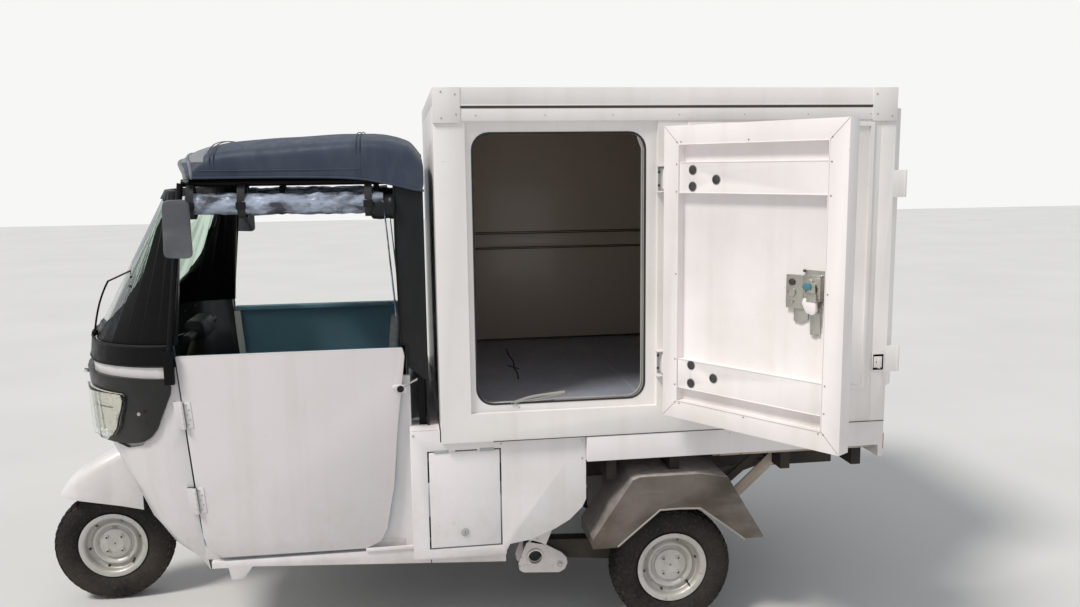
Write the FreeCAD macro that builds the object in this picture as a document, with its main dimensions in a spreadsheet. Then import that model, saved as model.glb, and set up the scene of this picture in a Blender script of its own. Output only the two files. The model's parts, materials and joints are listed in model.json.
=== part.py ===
"""Three-wheeled cargo auto rickshaw with an insulated box body.

The vehicle stands on the floor at z = 0 with its front towards -Y. X points to its left
side and the origin is under the front wheel, where the tyre meets the floor. Everything
is in millimetres.
"""
import FreeCAD, Part
import Sketcher
import math
import os

from FreeCAD import Placement, Rotation, Vector


SIZES = {
    # Seats and running gaps
    "seat_gap": 0.3,
    "running_gap": 1,
    "panel_gap": 6,
    # Wheels
    "wheelbase": 2260,
    "rear_track": 1240,
    "tyre_diameter": 480,
    "tyre_width": 120,
    "rim_diameter": 276,
    "rim_width": 96,
    "rim_sheet": 5,
    "drum_radius": 78,
    "axle_radius": 14,
    # Steering
    "rake_angle": 21.4,
    "axis_foot": -50,
    "column_radius": 19,
    "head_radius": 32,
    "head_low": 650,
    "head_high": 780,
    "crown_height": 594,
    "bar_height": 1150,
    "bar_half_width": 270,
    "bar_radius": 12,
    "grip_radius": 18,
    "fork_side_gap": 10,
    "guard_half_width": 106,
    "guard_sheet": 5,
    # Cab
    "cab_half_width": 630,
    "cab_wall": 26,
    "cab_rear": 1256,
    "hinge_barrel": 7,
    "door_foot_front": 476,
    "door_front_y": 497,
    "door_front_top_y": 441,
    "door_top": 1152,
    "door_foot": 391,
    "door_thickness": 26,
    "door_proud": 4,
    "door_skin": 6,
    "door_flange": 20,
    "cab_floor_top": 350,
    "cab_floor_sheet": 10,
    "sill_foot": 298,
    "sill_top": 378,
    "sill_rear": 1608,
    "post_panel_top": 1044,
    "glass_sheet": 5,
    "screen_frame_depth": 22,
    "screen_foot": 1232,
    "screen_head": 1700,
    "screen_half_width": 520,
    "arch_half_width": 205,
    "arch_top": 705,
    # Canopy and its tubes
    "canopy_half_width": 622,
    "canopy_sheet": 8,
    "valance_foot": 1779,
    "rail_tube_radius": 14,
    "rail_tube_height": 1763,
    "rail_tube_inset": 36,
    "roll_radius": 38,
    # Seat
    "seat_height": 800,
    "seat_depth": 430,
    "seat_pad": 90,
    "seat_half_width": 540,
    "seat_back_top": 1120,
    "seat_back_pad": 70,
    # Lower body
    "side_panel_inset": 23,
    "side_panel_sheet": 20,
    "side_panel_top": 850,
    "side_panel_rear": 1911,
    "hatch_front": 1317,
    "hatch_rear": 1590,
    "hatch_foot": 395,
    "hatch_top": 774,
    "hatch_sheet": 16,
    # Chassis
    "rail_spread": 300,
    "rail_width": 50,
    "rail_depth": 88,
    "outrigger_height": 98,
    "member_width": 60,
    "beam_width": 40,
    "deck_depth": 98,
    "deck_sheet": 20,
    "apron_depth": 47,
    # Box body
    "box_half_width": 723,
    "box_front": 1370,
    "box_length": 1725,
    "box_foot": 806,
    "box_floor_thickness": 118,
    "box_inner_height": 1098,
    "box_roof_thickness": 60,
    "box_wall": 58,
    "edge_rail_height": 117,
    "edge_rail_sheet": 4,
    "edge_slot": 8,
    "corner_cap": 97,
    "rear_frame_depth": 60,
    "rear_frame_width": 60,
    # Side doorway: the opening, the step round it and the door's laps over it
    "opening_front": 1504,
    "opening_length": 631,
    "opening_sill": 18,
    "opening_head": 96,
    "opening_corner": 62,
    "step_depth": 14,
    "step_front": 22,
    "step_rear": 42,
    "step_foot": 29,
    "step_head": 36,
    "lap_front": 34,
    "lap_rear": 50,
    "lap_foot": 50,
    "lap_head": 16,
    "side_door_thickness": 55,
    "side_door_gap": 3,
    "side_door_angle": 124.5,
    "side_door_recess": 32,
    "side_door_frame": 66,
    "cross_plate_height": 105,
    "cross_plate_inset": 62,
    "side_hinge_pin": 6,
    "side_hinge_knuckle": 12,
    "side_hinge_height": 92,
    "rear_door_thickness": 52,
    "rear_door_gap": 3,
    "rear_hinge_radius": 8,
    "rear_hinge_height": 102,
    # Rear suspension and fenders
    "arm_inner": 430,
    "arm_width": 60,
    "pivot_y": 1740,
    "pivot_height": 280,
    "spring_radius": 44,
    "engine_half_width": 170,
    "fender_inner": 480,
    "fender_outer": 722,
    "fender_sheet": 6,
}

# Sizes that follow from others
LINKS = {
    "side_panel_half_width": "box_half_width - side_panel_inset",
    "side_panel_inner": "side_panel_half_width - side_panel_sheet",
    "skirt_foot": "box_foot - deck_depth",
    "rail_top": "skirt_foot - outrigger_height",
    "rail_foot": "rail_top - rail_depth",
    "box_rear": "box_front + box_length",
    "box_inner_rear": "box_rear - rear_frame_depth",
    "box_floor_top": "box_foot + box_floor_thickness",
    "box_roof_foot": "box_floor_top + box_inner_height",
    "box_top": "box_roof_foot + box_roof_thickness",
    "opening_rear": "opening_front + opening_length",
    "opening_foot": "box_floor_top + opening_sill",
    "opening_top": "box_roof_foot - opening_head",
    "side_door_front": "opening_front - lap_front",
    "side_door_rear": "opening_rear + lap_rear",
    "side_door_foot": "opening_foot - lap_foot",
    "side_door_top": "opening_top + lap_head",
    "side_hinge_x": "box_half_width + side_door_gap + side_door_thickness / 2",
    "side_hinge_y": "side_door_rear + side_hinge_knuckle + 2",
    "rear_hinge_x": "box_half_width - rear_hinge_radius + 2.3",
    "rear_hinge_y": "box_rear + rear_door_gap + rear_door_thickness - rear_hinge_radius",
    "door_hinge_x": "cab_half_width + door_proud + hinge_barrel + seat_gap",
    "axle_height": "tyre_diameter / 2",
}


class Size:
    """A sheet size, or a sum of them, with its number and the expression that gives it."""

    def __init__(self, value, text):
        self.value = value
        self.text = text

    def joined(self, sign, other, value):
        return Size(value, "(%s %s %s)" % (self.text, sign, as_size(other).text))

    def __add__(self, other):
        return self.joined("+", other, self.value + float(other))

    def __radd__(self, other):
        return as_size(other) + self

    def __sub__(self, other):
        return self.joined("-", other, self.value - float(other))

    def __rsub__(self, other):
        return as_size(other) - self

    def __mul__(self, other):
        return self.joined("*", other, self.value * float(other))

    def __rmul__(self, other):
        return as_size(other) * self

    def __truediv__(self, other):
        return self.joined("/", other, self.value / float(other))

    def __neg__(self):
        return Size(-self.value, "(0 - %s)" % self.text)

    def __float__(self):
        return float(self.value)


def as_size(number):
    if isinstance(number, Size):
        return number
    return Size(float(number), "%g" % number)


class SheetSizes:
    """The sizes of the sheet, read by name."""

    def __init__(self, sheet):
        self.sheet = sheet

    def __getattr__(self, name):
        return Size(float(self.sheet.get(name)), "Sizes.%s" % name)


doc = FreeCAD.newDocument("cargo_rickshaw")


def fill_sheet():
    """Writes the sizes, then the ones that follow from them as formulas."""
    sheet = doc.addObject("Spreadsheet::Sheet", "Sizes")
    cells = [(name, str(value)) for name, value in SIZES.items()]
    cells += [(name, "=" + formula) for name, formula in LINKS.items()]
    for row, (name, content) in enumerate(cells, start=1):
        sheet.set("A%d" % row, name)
        sheet.setAlias("B%d" % row, name)
        sheet.set("B%d" % row, content)
    doc.recompute()
    return SheetSizes(sheet)


s = fill_sheet()
pieces = {}


def keep(node, label):
    node.Label = label
    pieces[label] = node
    return node


# Sketches, pads and revolves
PLANES = {"flat": "XY_Plane", "front": "XZ_Plane", "side": "YZ_Plane"}
CORNER_TURNS = ((1, 1, math.pi), (-1, 1, 1.5 * math.pi), (-1, -1, 0.0), (1, -1, 0.5 * math.pi))


def new_body(label):
    return doc.addObject("PartDesign::Body", label)


def new_sketch(body, plane, offset=0.0):
    """A sketch on one of the body's own planes, moved along that plane's normal."""
    sketch = body.newObject("Sketcher::SketchObject", body.Name + "_outline")
    support = [f for f in body.Origin.OriginFeatures if f.Role == PLANES[plane]][0]
    sketch.AttachmentSupport = [(support, "")]
    sketch.MapMode = "FlatFace"
    offset = as_size(offset)
    sketch.AttachmentOffset = Placement(Vector(0, 0, offset.value), Rotation())
    sketch.setExpression("AttachmentOffset.Base.z", offset.text)
    return sketch


def hold_point(sketch, index, end, across, up):
    """Holds one end of a line at a place given by two sizes."""
    for kind, size in (("DistanceX", as_size(across)), ("DistanceY", as_size(up))):
        constraint = Sketcher.Constraint(kind, -1, 1, index, end, size.value)
        number = sketch.addConstraint(constraint)
        sketch.setExpression("Constraints[%d]" % number, size.text)


def draw_outline(sketch, points):
    """A closed outline of straight lines whose corners are held at their sizes."""
    first = sketch.GeometryCount
    count = len(points)
    places = [Vector(float(across), float(up), 0) for across, up in points]
    lines = [Part.LineSegment(places[i], places[(i + 1) % count]) for i in range(count)]
    sketch.addGeometry(lines, False)
    for i in range(count):
        following = first + (i + 1) % count
        sketch.addConstraint(Sketcher.Constraint("Coincident", first + i, 2, following, 1))
    for i, (across, up) in enumerate(points):
        hold_point(sketch, first + i, 1, across, up)


def draw_round_rectangle(sketch, low_across, high_across, low_up, high_up, radius):
    """A rectangle with an arc at each corner, held at its sizes."""
    corners = rectangle(low_across, high_across, low_up, high_up)
    ends = []
    for i, (right, up, start) in enumerate(CORNER_TURNS):
        across, height = corners[i]
        before = (across, height + radius * up)
        after = (across + radius * right, height)
        if i % 2:
            before, after = after, before
        ends.append((before, after))
    first = sketch.GeometryCount
    for i, (right, up, start) in enumerate(CORNER_TURNS):
        across, height = corners[i]
        centre = Vector(float(across + radius * right), float(height + radius * up), 0)
        circle = Part.Circle(centre, Vector(0, 0, 1), float(radius))
        sketch.addGeometry(Part.ArcOfCircle(circle, start, start + 0.5 * math.pi), False)
    for i in range(4):
        start, end = ends[i][1], ends[(i + 1) % 4][0]
        places = [Vector(float(a), float(b), 0) for a, b in (start, end)]
        line = sketch.addGeometry(Part.LineSegment(*places), False)
        hold_point(sketch, line, 1, *start)
        hold_point(sketch, line, 2, *end)
        sketch.addConstraint(Sketcher.Constraint("Coincident", first + i, 2, line, 1))
        sketch.addConstraint(Sketcher.Constraint("Coincident", line, 2, first + (i + 1) % 4, 1))
        number = sketch.addConstraint(Sketcher.Constraint("Radius", first + i, float(radius)))
        sketch.setExpression("Constraints[%d]" % number, as_size(radius).text)


def draw_circle(sketch, across, up, radius):
    centre = Vector(float(across), float(up), 0)
    index = sketch.addGeometry(Part.Circle(centre, Vector(0, 0, 1), float(radius)), False)
    hold_point(sketch, index, 3, across, up)
    number = sketch.addConstraint(Sketcher.Constraint("Radius", index, float(radius)))
    sketch.setExpression("Constraints[%d]" % number, as_size(radius).text)


def pad_sketch(body, sketch, length):
    pad = body.newObject("PartDesign::Pad", body.Name + "_pad")
    pad.Profile = sketch
    pad.Length = float(length)
    pad.setExpression("Length", as_size(length).text)
    sketch.Visibility = False
    return pad


def plate(label, plane, start, thickness, outline, holes=(), circles=(), round_hole=None):
    """A flat piece padded from start along the plane's normal, with its holes cut."""
    body = new_body(label)
    sketch = new_sketch(body, plane, start)
    draw_outline(sketch, outline)
    for hole in holes:
        draw_outline(sketch, hole)
    for across, up, radius in circles:
        draw_circle(sketch, across, up, radius)
    if round_hole:
        draw_round_rectangle(sketch, *round_hole)
    pad_sketch(body, sketch, thickness)
    return body


def rectangle(low_across, high_across, low_up, high_up):
    return [
        (low_across, low_up),
        (high_across, low_up),
        (high_across, high_up),
        (low_across, high_up),
    ]


def block(label, low, high):
    """A box between two corners, held by its sizes."""
    node = doc.addObject("Part::Box", label)
    for prop, axis in (("Length", 0), ("Width", 1), ("Height", 2)):
        size = as_size(high[axis]) - as_size(low[axis])
        setattr(node, prop, float(size))
        node.setExpression(prop, size.text)
    for axis, letter in enumerate("xyz"):
        node.setExpression("Placement.Base.%s" % letter, as_size(low[axis]).text)
    return node


def upright(label, x, y, low, high, radius, sides=0):
    """A bar that stands upright, round or with flat sides, held by its sizes."""
    node = doc.addObject("Part::Prism" if sides else "Part::Cylinder", label)
    if sides:
        node.Polygon = sides
    height = as_size(high) - as_size(low)
    for prop, size in (("Circumradius" if sides else "Radius", as_size(radius)), ("Height", height)):
        setattr(node, prop, float(size))
        node.setExpression(prop, size.text)
    for letter, size in (("x", x), ("y", y), ("z", low)):
        node.setExpression("Placement.Base.%s" % letter, as_size(size).text)
    return node


def cut(base, tool, label):
    node = doc.addObject("Part::Cut", label)
    node.Base = base
    node.Tool = tool
    return node


def fuse(parts, label):
    node = doc.addObject("Part::MultiFuse", label)
    node.Shapes = parts
    node.Refine = True
    return node


def group(parts, label):
    """One node of separate solids."""
    node = doc.addObject("Part::Compound", label)
    node.Links = parts
    return node


def mirrored(source, label):
    node = doc.addObject("Part::Mirroring", label)
    node.Source = source
    node.Normal = Vector(1, 0, 0)
    node.Base = Vector(0, 0, 0)
    return node


def pair(source, label):
    """One node that holds a piece and its mirror image on the other side."""
    return group([source, mirrored(source, label + "_far")], label)


def shaped(label, shape):
    node = doc.addObject("Part::Feature", label)
    node.Shape = shape
    return node


def across_cab(shape):
    """The shape's mirror image on the other side."""
    return shape.mirror(Vector(0, 0, 0), Vector(1, 0, 0))


def rod(start, end, radius):
    """A straight round bar between two points."""
    start, end = Vector(*start), Vector(*end)
    along = end - start
    return Part.makeCylinder(radius, along.Length, start, along)


def facet_rod(start, end, radius, sides=12):
    """A straight bar between two points whose round is turned in flat facets."""
    start, end = Vector(*start), Vector(*end)
    along = end - start
    lean = Rotation(Vector(0, 0, 1), along)
    corners = []
    for i in range(sides):
        turn = (i + 0.5) * 2 * math.pi / sides
        corners.append(start + lean.multVec(Vector(radius * math.cos(turn), radius * math.sin(turn), 0)))
    return flat_face(corners).extrude(along)


def flat_face(corners):
    return Part.Face(Part.makePolygon(corners + corners[:1]))


def side_prism(points, low_x, high_x):
    """A solid with a side outline of (y, z) points, between two places across the cab."""
    return flat_face([Vector(low_x, y, z) for y, z in points]).extrude(Vector(high_x - low_x, 0, 0))


def front_prism(points, low_y, high_y):
    """A solid with a front outline of (x, z) points, between two places along the cab."""
    return flat_face([Vector(x, low_y, z) for x, z in points]).extrude(Vector(0, high_y - low_y, 0))


def plan_prism(points, low_z, high_z):
    """A solid with a plan outline of (x, y) points, between two heights."""
    return flat_face([Vector(x, y, low_z) for x, y in points]).extrude(Vector(0, 0, high_z - low_z))


def offset_outline(points, distance):
    """A closed outline moved outwards by a distance."""
    face = Part.Face(Part.makePolygon([Vector(a, b, 0) for a, b in points + points[:1]]))
    moved = face.makeOffset2D(distance, 2)
    return [(v.X, v.Y) for v in moved.OuterWire.OrderedVertexes]


def rounded(points, radii, steps):
    """A closed outline whose corners are turned in short chords round their radii."""
    turned_points = []
    count = len(points)
    for i, radius in enumerate(radii):
        corner = Vector(*points[i], 0)
        if radius == 0:
            turned_points.append(points[i])
            continue
        before = (Vector(*points[i - 1], 0) - corner).normalize()
        after = (Vector(*points[(i + 1) % count], 0) - corner).normalize()
        half = before.getAngle(after) / 2
        reach = radius / math.tan(half)
        middle = (before + after).normalize() * (radius / math.sin(half) - radius)
        arc = Part.Arc(corner + before * reach, corner + middle, corner + after * reach)
        turned_points += [(p.x, p.y) for p in arc.discretize(Number=steps + 1)]
    return turned_points


def steering_point(height):
    """The point of the steering line at a height."""
    rake = math.tan(math.radians(float(s.rake_angle)))
    return Vector(0, float(s.axis_foot) + rake * height, height)


# Cab front, from a table of level sections
# height, nose y, corner x, corner y, side x
COWL_SECTIONS = (
    (300, 455, 400, 468, 585),
    (406, 335, 420, 347, 605),
    (521, 255, 440, 276, 622),
    (671, 150, 450, 209, 630),
    (807, 80, 450, 158, 630),
    (1190, 22, 420, 112, 622),
)
# height, nose y, corner x, corner y, side x, rear y
SCREEN_SECTIONS = (
    (1190.3, 30, 414, 118, 615, 445),
    (1735, 322, 400, 408, 590, 488),
)
# chords in the arc across the nose and in each corner's arc
SKIN_CHORDS = (4, 6)
LINING_CHORDS = (3, 4)
SURROUND_OUTLINE = (
    (-80, 1086), (98, 1077), (366, 1040), (381, 1024), (322, 852), (300, 826), (243, 809), (174, 818), (-80, 830))
LENS_OUTLINE = ((60, 1022), (222, 1008), (196, 872), (60, 862))
CAB_DOOR_HINGE_HEIGHTS = (620, 940)


def door_front_line(height):
    """Where the front edge of a cab door lies at a height."""
    low, high = float(s.door_foot_front), float(s.door_top)
    front, top = float(s.door_front_y), float(s.door_front_top_y)
    return front + (top - front) * (height - low) / (high - low)


def solid_of(faces):
    """A solid closed by the faces, turned outwards."""
    shell = Part.makeShell(faces)
    shell.sewShape()
    solid = Part.makeSolid(shell)
    if solid.Volume < 0:
        solid.reverse()
    return solid


def loft(sections):
    """A solid through closed sections with like numbers of points, skinned in flat facets:
    a four-cornered one where its corners are level, or else two along the shorter fold."""
    faces = [flat_face(sections[0]), flat_face(sections[-1])]
    for here, there in zip(sections, sections[1:]):
        for i in range(len(here)):
            k = (i + 1) % len(here)
            normal = (here[k] - here[i]).cross(there[i] - here[i]).normalize()
            if abs((there[k] - here[i]).dot(normal)) < 1e-6:
                faces.append(flat_face([here[i], here[k], there[k], there[i]]))
            elif (there[k] - here[i]).Length <= (there[i] - here[k]).Length + 1e-6:
                faces.append(flat_face([here[i], here[k], there[k]]))
                faces.append(flat_face([here[i], there[k], there[i]]))
            else:
                faces.append(flat_face([here[i], here[k], there[i]]))
                faces.append(flat_face([here[k], there[k], there[i]]))
    return solid_of(faces)


def level_section(row, inset, rear, past, chords):
    """A closed level section: an arc across the nose, an arc round each corner, a flat back."""
    height, nose, corner_x, corner_y, side_x = row[:5]
    nose_chords, corner_chords = chords
    corner = Vector(corner_x - 0.8 * inset, corner_y + 0.8 * inset, height)
    side = Vector(side_x - inset, rear, height)
    bend = Vector(corner.x + 0.70 * (side.x - corner.x), corner.y + 0.36 * (rear - corner.y), height)
    round_corner = Part.Arc(side, bend, corner).discretize(Number=corner_chords + 1)
    far_corner = [Vector(-p.x, p.y, p.z) for p in reversed(round_corner)]
    tip = Vector(0, nose + inset, height)
    nose_arc = Part.Arc(corner, tip, far_corner[0]).discretize(Number=nose_chords + 1)
    points = round_corner + nose_arc[1:-1] + far_corner
    if past > 0:
        back = rear + past
        points = [Vector(side.x, back, height)] + points + [Vector(-side.x, back, height)]
    return points


def front_solid(rows, inset, past=0.0, chords=SKIN_CHORDS):
    """The cab front as a full solid, set in from its outer face."""
    gap = float(s.panel_gap)
    sections = []
    for row in rows:
        rear = row[5] if len(row) > 5 else door_front_line(row[0]) - gap
        sections.append(level_section(row, inset, rear, past, chords))
    return loft(sections)


def front_shell(rows, outer, inner, lining=SKIN_CHORDS):
    return front_solid(rows, outer).cut(front_solid(rows, inner, 5.0, lining))


def cab_hinge(height):
    """The barrel of a cab door hinge and the leaf that joins it to the cowl."""
    half_height = 50
    x = float(s.door_hinge_x)
    gap = float(s.panel_gap)
    low = Vector(x, door_front_line(height - half_height) - gap / 2, height - half_height)
    high = Vector(x, door_front_line(height + half_height) - gap / 2, height + half_height)
    barrel = rod(low, high, float(s.hinge_barrel))
    leaf = side_prism([(low.y - 26, low.z), (low.y - 1, low.z), (high.y - 1, high.z),
                       (high.y - 26, high.z)], x - 16, x)
    return barrel.fuse(leaf)


def build_cab_front():
    wall = float(s.cab_wall)
    cowl = front_shell(COWL_SECTIONS, 0, wall, LINING_CHORDS)
    arch_w, arch_top = float(s.arch_half_width), float(s.arch_top)
    arch_outline = [(-arch_w, 200), (arch_w, 200), (arch_w, arch_top), (-arch_w, arch_top)]
    arch = front_prism(rounded(arch_outline, (0, 0, 110, 110), 4), -100, 700)
    zone = front_shell(COWL_SECTIONS, -20, 14.4).common(
        side_prism(offset_outline(list(SURROUND_OUTLINE), 0.4), -900, 900))
    cowl = cowl.cut(arch).cut(zone)
    hinges = [cab_hinge(height) for height in CAB_DOOR_HINGE_HEIGHTS]
    hinges += [across_cab(hinge) for hinge in hinges]
    keep(shaped("cab_cowl", cowl.fuse(hinges).removeSplitter()), "cab_cowl")
    surround = front_shell(COWL_SECTIONS, -12, 14).common(side_prism(SURROUND_OUTLINE, -900, 900))
    lens_zone = side_prism(LENS_OUTLINE, 330, 900)
    surround = surround.cut(lens_zone).cut(across_cab(lens_zone))
    keep(shaped("lamp_surround", surround), "lamp_surround")
    lens = front_shell(COWL_SECTIONS, -9, 12).common(lens_zone)
    keep(shaped("headlamps", Part.makeCompound([lens, across_cab(lens)])), "headlamps")


def screen_opening(grow):
    """A prism along Y through the windscreen, round at its lower and upper corners."""
    w = float(s.screen_half_width) - grow
    low, high = float(s.screen_foot) + grow, float(s.screen_head) - grow
    outline = [(-w, low), (w, low), (w, high), (-w, high)]
    return front_prism(rounded(outline, (190, 190, 45, 45), 4), -300, 800)


def build_windscreen():
    frame = front_shell(SCREEN_SECTIONS, 0, float(s.screen_frame_depth))
    keep(shaped("windscreen_frame", frame.cut(screen_opening(0))), "windscreen_frame")
    pane = front_shell(SCREEN_SECTIONS, 8, 8 + float(s.glass_sheet))
    keep(shaped("windscreen_glass", pane.common(screen_opening(float(s.seat_gap)))), "windscreen_glass")


def build_cab_floor():
    """The pressed floor: pan, toe board, wheel cheeks, sills with their feet, and the head tube."""
    sheet, high = s.cab_floor_sheet, s.cab_floor_top
    low = high - sheet
    half = s.cab_half_width - s.cab_wall - 4
    board = s.arch_half_width + 20
    top = s.arch_top + 6
    toe = plate("toe_board", "side", -board, board * 2, [
        (475, low), (s.cab_rear, low), (s.cab_rear, high), (480, high), (300, top), (100, top),
        (100, top - sheet), (292, top - sheet)])
    wings = plate("floor_wings", "flat", low, sheet, [
        (-board, 476), (board, 476), (400, 502), (half, 520), (half, s.cab_rear), (-half, s.cab_rear),
        (-half, 520), (-400, 502)])
    cheek = plate("wheel_cheek", "side", s.arch_half_width + s.running_gap, 8, [
        (120, top), (300, top), (480, high), (480, low), (400, low), (340, 406), (262, 521), (160, 671)])
    outer = s.cab_half_width + s.door_proud
    sill = plate("sill", "side", half - 60, outer + 60 - half, [
        (520, s.sill_foot), (s.sill_rear, s.sill_foot + 36), (s.sill_rear, s.sill_foot + 63),
        (s.cab_rear, s.sill_foot + 63), (s.cab_rear, s.sill_top), (520, s.sill_top)])
    foot = plate("jack_foot", "side", half, outer - half, [
        (529, 226), (572, 226), (588, s.sill_foot + 6), (520, s.sill_foot + 6)])
    side = fuse([sill, foot], "sill_with_foot")
    tub = fuse([toe, wings, cheek, mirrored(cheek, "cheek_far"), side, mirrored(side, "sill_far")], "floor_tub")
    doc.recompute()
    low_end, high_end = steering_point(float(s.head_low)), steering_point(float(s.head_high))
    reach = high_end - low_end
    head = rod(low_end, high_end, float(s.head_radius))
    bore = rod(low_end - reach, high_end + reach, float(s.column_radius) + float(s.seat_gap))
    inside = tub.Shape.cut(front_shell(COWL_SECTIONS, -60, float(s.cab_wall) + float(s.seat_gap), LINING_CHORDS))
    keep(shaped("cab_floor", inside.fuse(head).cut(bore).removeSplitter()), "cab_floor")


def build_rear_bulkhead():
    """The wall behind the seat, its shelf up to the box, and the posts the doors close on."""
    half = s.side_panel_inner - s.seat_gap
    face = s.cab_rear + s.seat_gap
    sheet, low = 8, s.sill_foot + 63 + s.seat_gap
    wall = plate("rear_bulkhead", "side", -half, half * 2, [
        (face, low), (face + sheet, low), (face + sheet, s.side_panel_top - sheet), (s.box_front - 4, s.side_panel_top - sheet),
        (s.box_front - 4, s.side_panel_top), (face, s.side_panel_top)])
    door_inner = s.cab_half_width + s.door_proud - s.door_thickness
    post = plate("door_post", "side", door_inner - 24, 20, [
        (1120, s.sill_top + s.seat_gap), (face + sheet, s.sill_top + s.seat_gap),
        (face + sheet, s.post_panel_top), (1214, s.post_panel_top), (1182, 640), (1150, 470)])
    keep(fuse([wall, post, mirrored(post, "door_post_far")], "rear_bulkhead"), "rear_bulkhead")


# Front mudguard, from a table of upright sections
# y, half width, lower edge z, top z
GUARD_SECTIONS = (
    (-186, 56, 472, 492),
    (-150, 86, 468, 546),
    (-100, 101, 461, 585),
    (-45, 106, 452, 612),
    (62, 106, 431, 669),
    (150, 106, 409, 672),
)


def guard_solid(sheet):
    """The mudguard as a full solid with round shoulders, set in by a sheet's thickness."""
    sections = []
    for i, (y, half, low, top) in enumerate(GUARD_SECTIONS):
        w, z = half - sheet, top - sheet
        bend = min(46.0, w - 8, (z - low) * 0.6)
        outline = [(-w, low - 2 * sheet), (w, low - 2 * sheet), (w, z), (-w, z)]
        place = y
        if i == 0:
            place = y + sheet
        elif i == len(GUARD_SECTIONS) - 1:
            place = y + 2 * sheet
        sections.append([Vector(x, place, up) for x, up in rounded(outline, (0, 0, bend, bend), 4)])
    return loft(sections)


def build_steering():
    """A column with a crown and one leg down the right side of the tyre, which holds the axle."""
    top = steering_point(float(s.bar_height))
    crown_z = float(s.crown_height)
    crown = steering_point(crown_z)
    column = rod(crown, top, float(s.column_radius))
    axle_z = float(s.axle_height)
    leg_in = float(s.tyre_width) / 2 + float(s.fork_side_gap)
    leg_out = float(s.guard_half_width) - float(s.guard_sheet) - float(s.seat_gap)
    leg = side_prism([(-28, axle_z - 10), (-14, axle_z - 30), (18, axle_z - 30), (34, axle_z - 8), (96, 330),
                      (178, 470), (212, 570), (196, 618), (150, 618), (92, 520), (30, 380)], -leg_out, -leg_in)
    bridge = Part.makeBox(leg_out + 30, 56, 46, Vector(-leg_out, 150, 571))
    stub = facet_rod((-leg_in - 1, 0, axle_z), (float(s.running_gap) * 8, 0, axle_z), float(s.axle_radius), 16)
    backing = facet_rod((-leg_in - 1, 0, axle_z), (-float(s.rim_width) / 2 - 3, 0, axle_z), 70, 16)
    fork = column.fuse([leg, bridge, backing, stub]).removeSplitter()
    keep(shaped("steering_column", fork), "steering_column")
    build_handlebar(crown, top)
    outer, inner = guard_solid(0), guard_solid(float(s.guard_sheet))
    guard = outer.cut(inner).cut(rod(crown, top, float(s.column_radius) + float(s.running_gap)))
    keep(shaped("front_mudguard", guard), "front_mudguard")


def build_handlebar(crown, top):
    """The bar with its grips, levers and the pod that clamps it to the column."""
    reach = float(s.bar_half_width)
    bar = facet_rod((-reach, top.y, top.z), (reach, top.y, top.z), float(s.bar_radius))
    pod_outline = rounded([(top.y - 50, top.z - 34), (top.y + 45, top.z - 30), (top.y + 30, top.z + 44),
                           (top.y - 40, top.z + 52)], (14, 14, 20, 24), 3)
    parts = [side_prism(pod_outline, -104, 104)]
    for side in (1, -1):
        grip_end = (side * reach, top.y, top.z)
        parts.append(facet_rod((side * 150, top.y, top.z), grip_end, float(s.grip_radius), 16))
        lever = plan_prism([(side * 120, top.y - 12), (side * 130, top.y - 34), (side * 262, top.y - 62),
                            (side * 262, top.y - 54), (side * 140, top.y - 20), (side * 136, top.y - 4)],
                           top.z - 7, top.z + 7)
        parts.append(lever)
    end = top + (top - crown) * 0.02
    bars = bar.fuse(parts).cut(rod(crown, end, float(s.column_radius)))
    keep(shaped("handlebar", bars), "handlebar")


WHEEL_CHORDS = 28


def chord_turn(profile, chords, side=1):
    """A profile of (place across, radius) points turned about X in flat chords."""
    grow = 1 / math.cos(math.pi / chords)
    rings = []
    for i in range(chords):
        turn = (i + 0.5) * 2 * math.pi / chords
        out, up = grow * math.sin(turn), -grow * math.cos(turn)
        rings.append([Vector(side * float(x), float(r) * out, float(r) * up) for x, r in profile])
    faces = []
    for i in range(chords):
        here, there = rings[i], rings[(i + 1) % chords]
        for j in range(len(profile)):
            k = (j + 1) % len(profile)
            corners = [here[j], here[k], there[k], there[j]]
            corners = [p for n, p in enumerate(corners) if p.distanceToPoint(corners[n - 1]) > 1e-6]
            if len(corners) > 2:
                faces.append(flat_face(corners))
    return solid_of(faces)


def rim_profile():
    """Half section of a wheel disc in its rim: hub face, ring, well and two flanges."""
    r = s.rim_diameter / 2
    w = s.rim_width / 2
    t = s.rim_sheet
    seat = r - 16
    hub = s.drum_radius - 20
    return [
        (24, 0), (24, hub), (12, hub + 8), (22, hub + 22), (22, hub + 32), (10, hub + 40),
        (28, seat - t), (w, seat + 4), (w, r), (w - t, r), (w - t, seat), (-w + t, seat), (-w + t, r),
        (-w, r), (-w, seat - t), (-2, seat - t), (-w + 8, s.drum_radius), (-w + 8, 0),
    ]


def tyre_profile():
    """Half section of a tyre: bead, side wall, shoulder and tread."""
    r = s.rim_diameter / 2
    bead = s.rim_width / 2 - s.rim_sheet - s.seat_gap
    big = s.tyre_diameter / 2
    wide = s.tyre_width / 2
    half = [(bead, r - 15), (bead, r + 4), (wide - 4, r + 22), (wide, r + 48), (wide - 3, big - 34),
            (wide - 14, big - 10), (wide - 34, big)]
    return half + [(-x, radius) for x, radius in reversed(half)]


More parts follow.
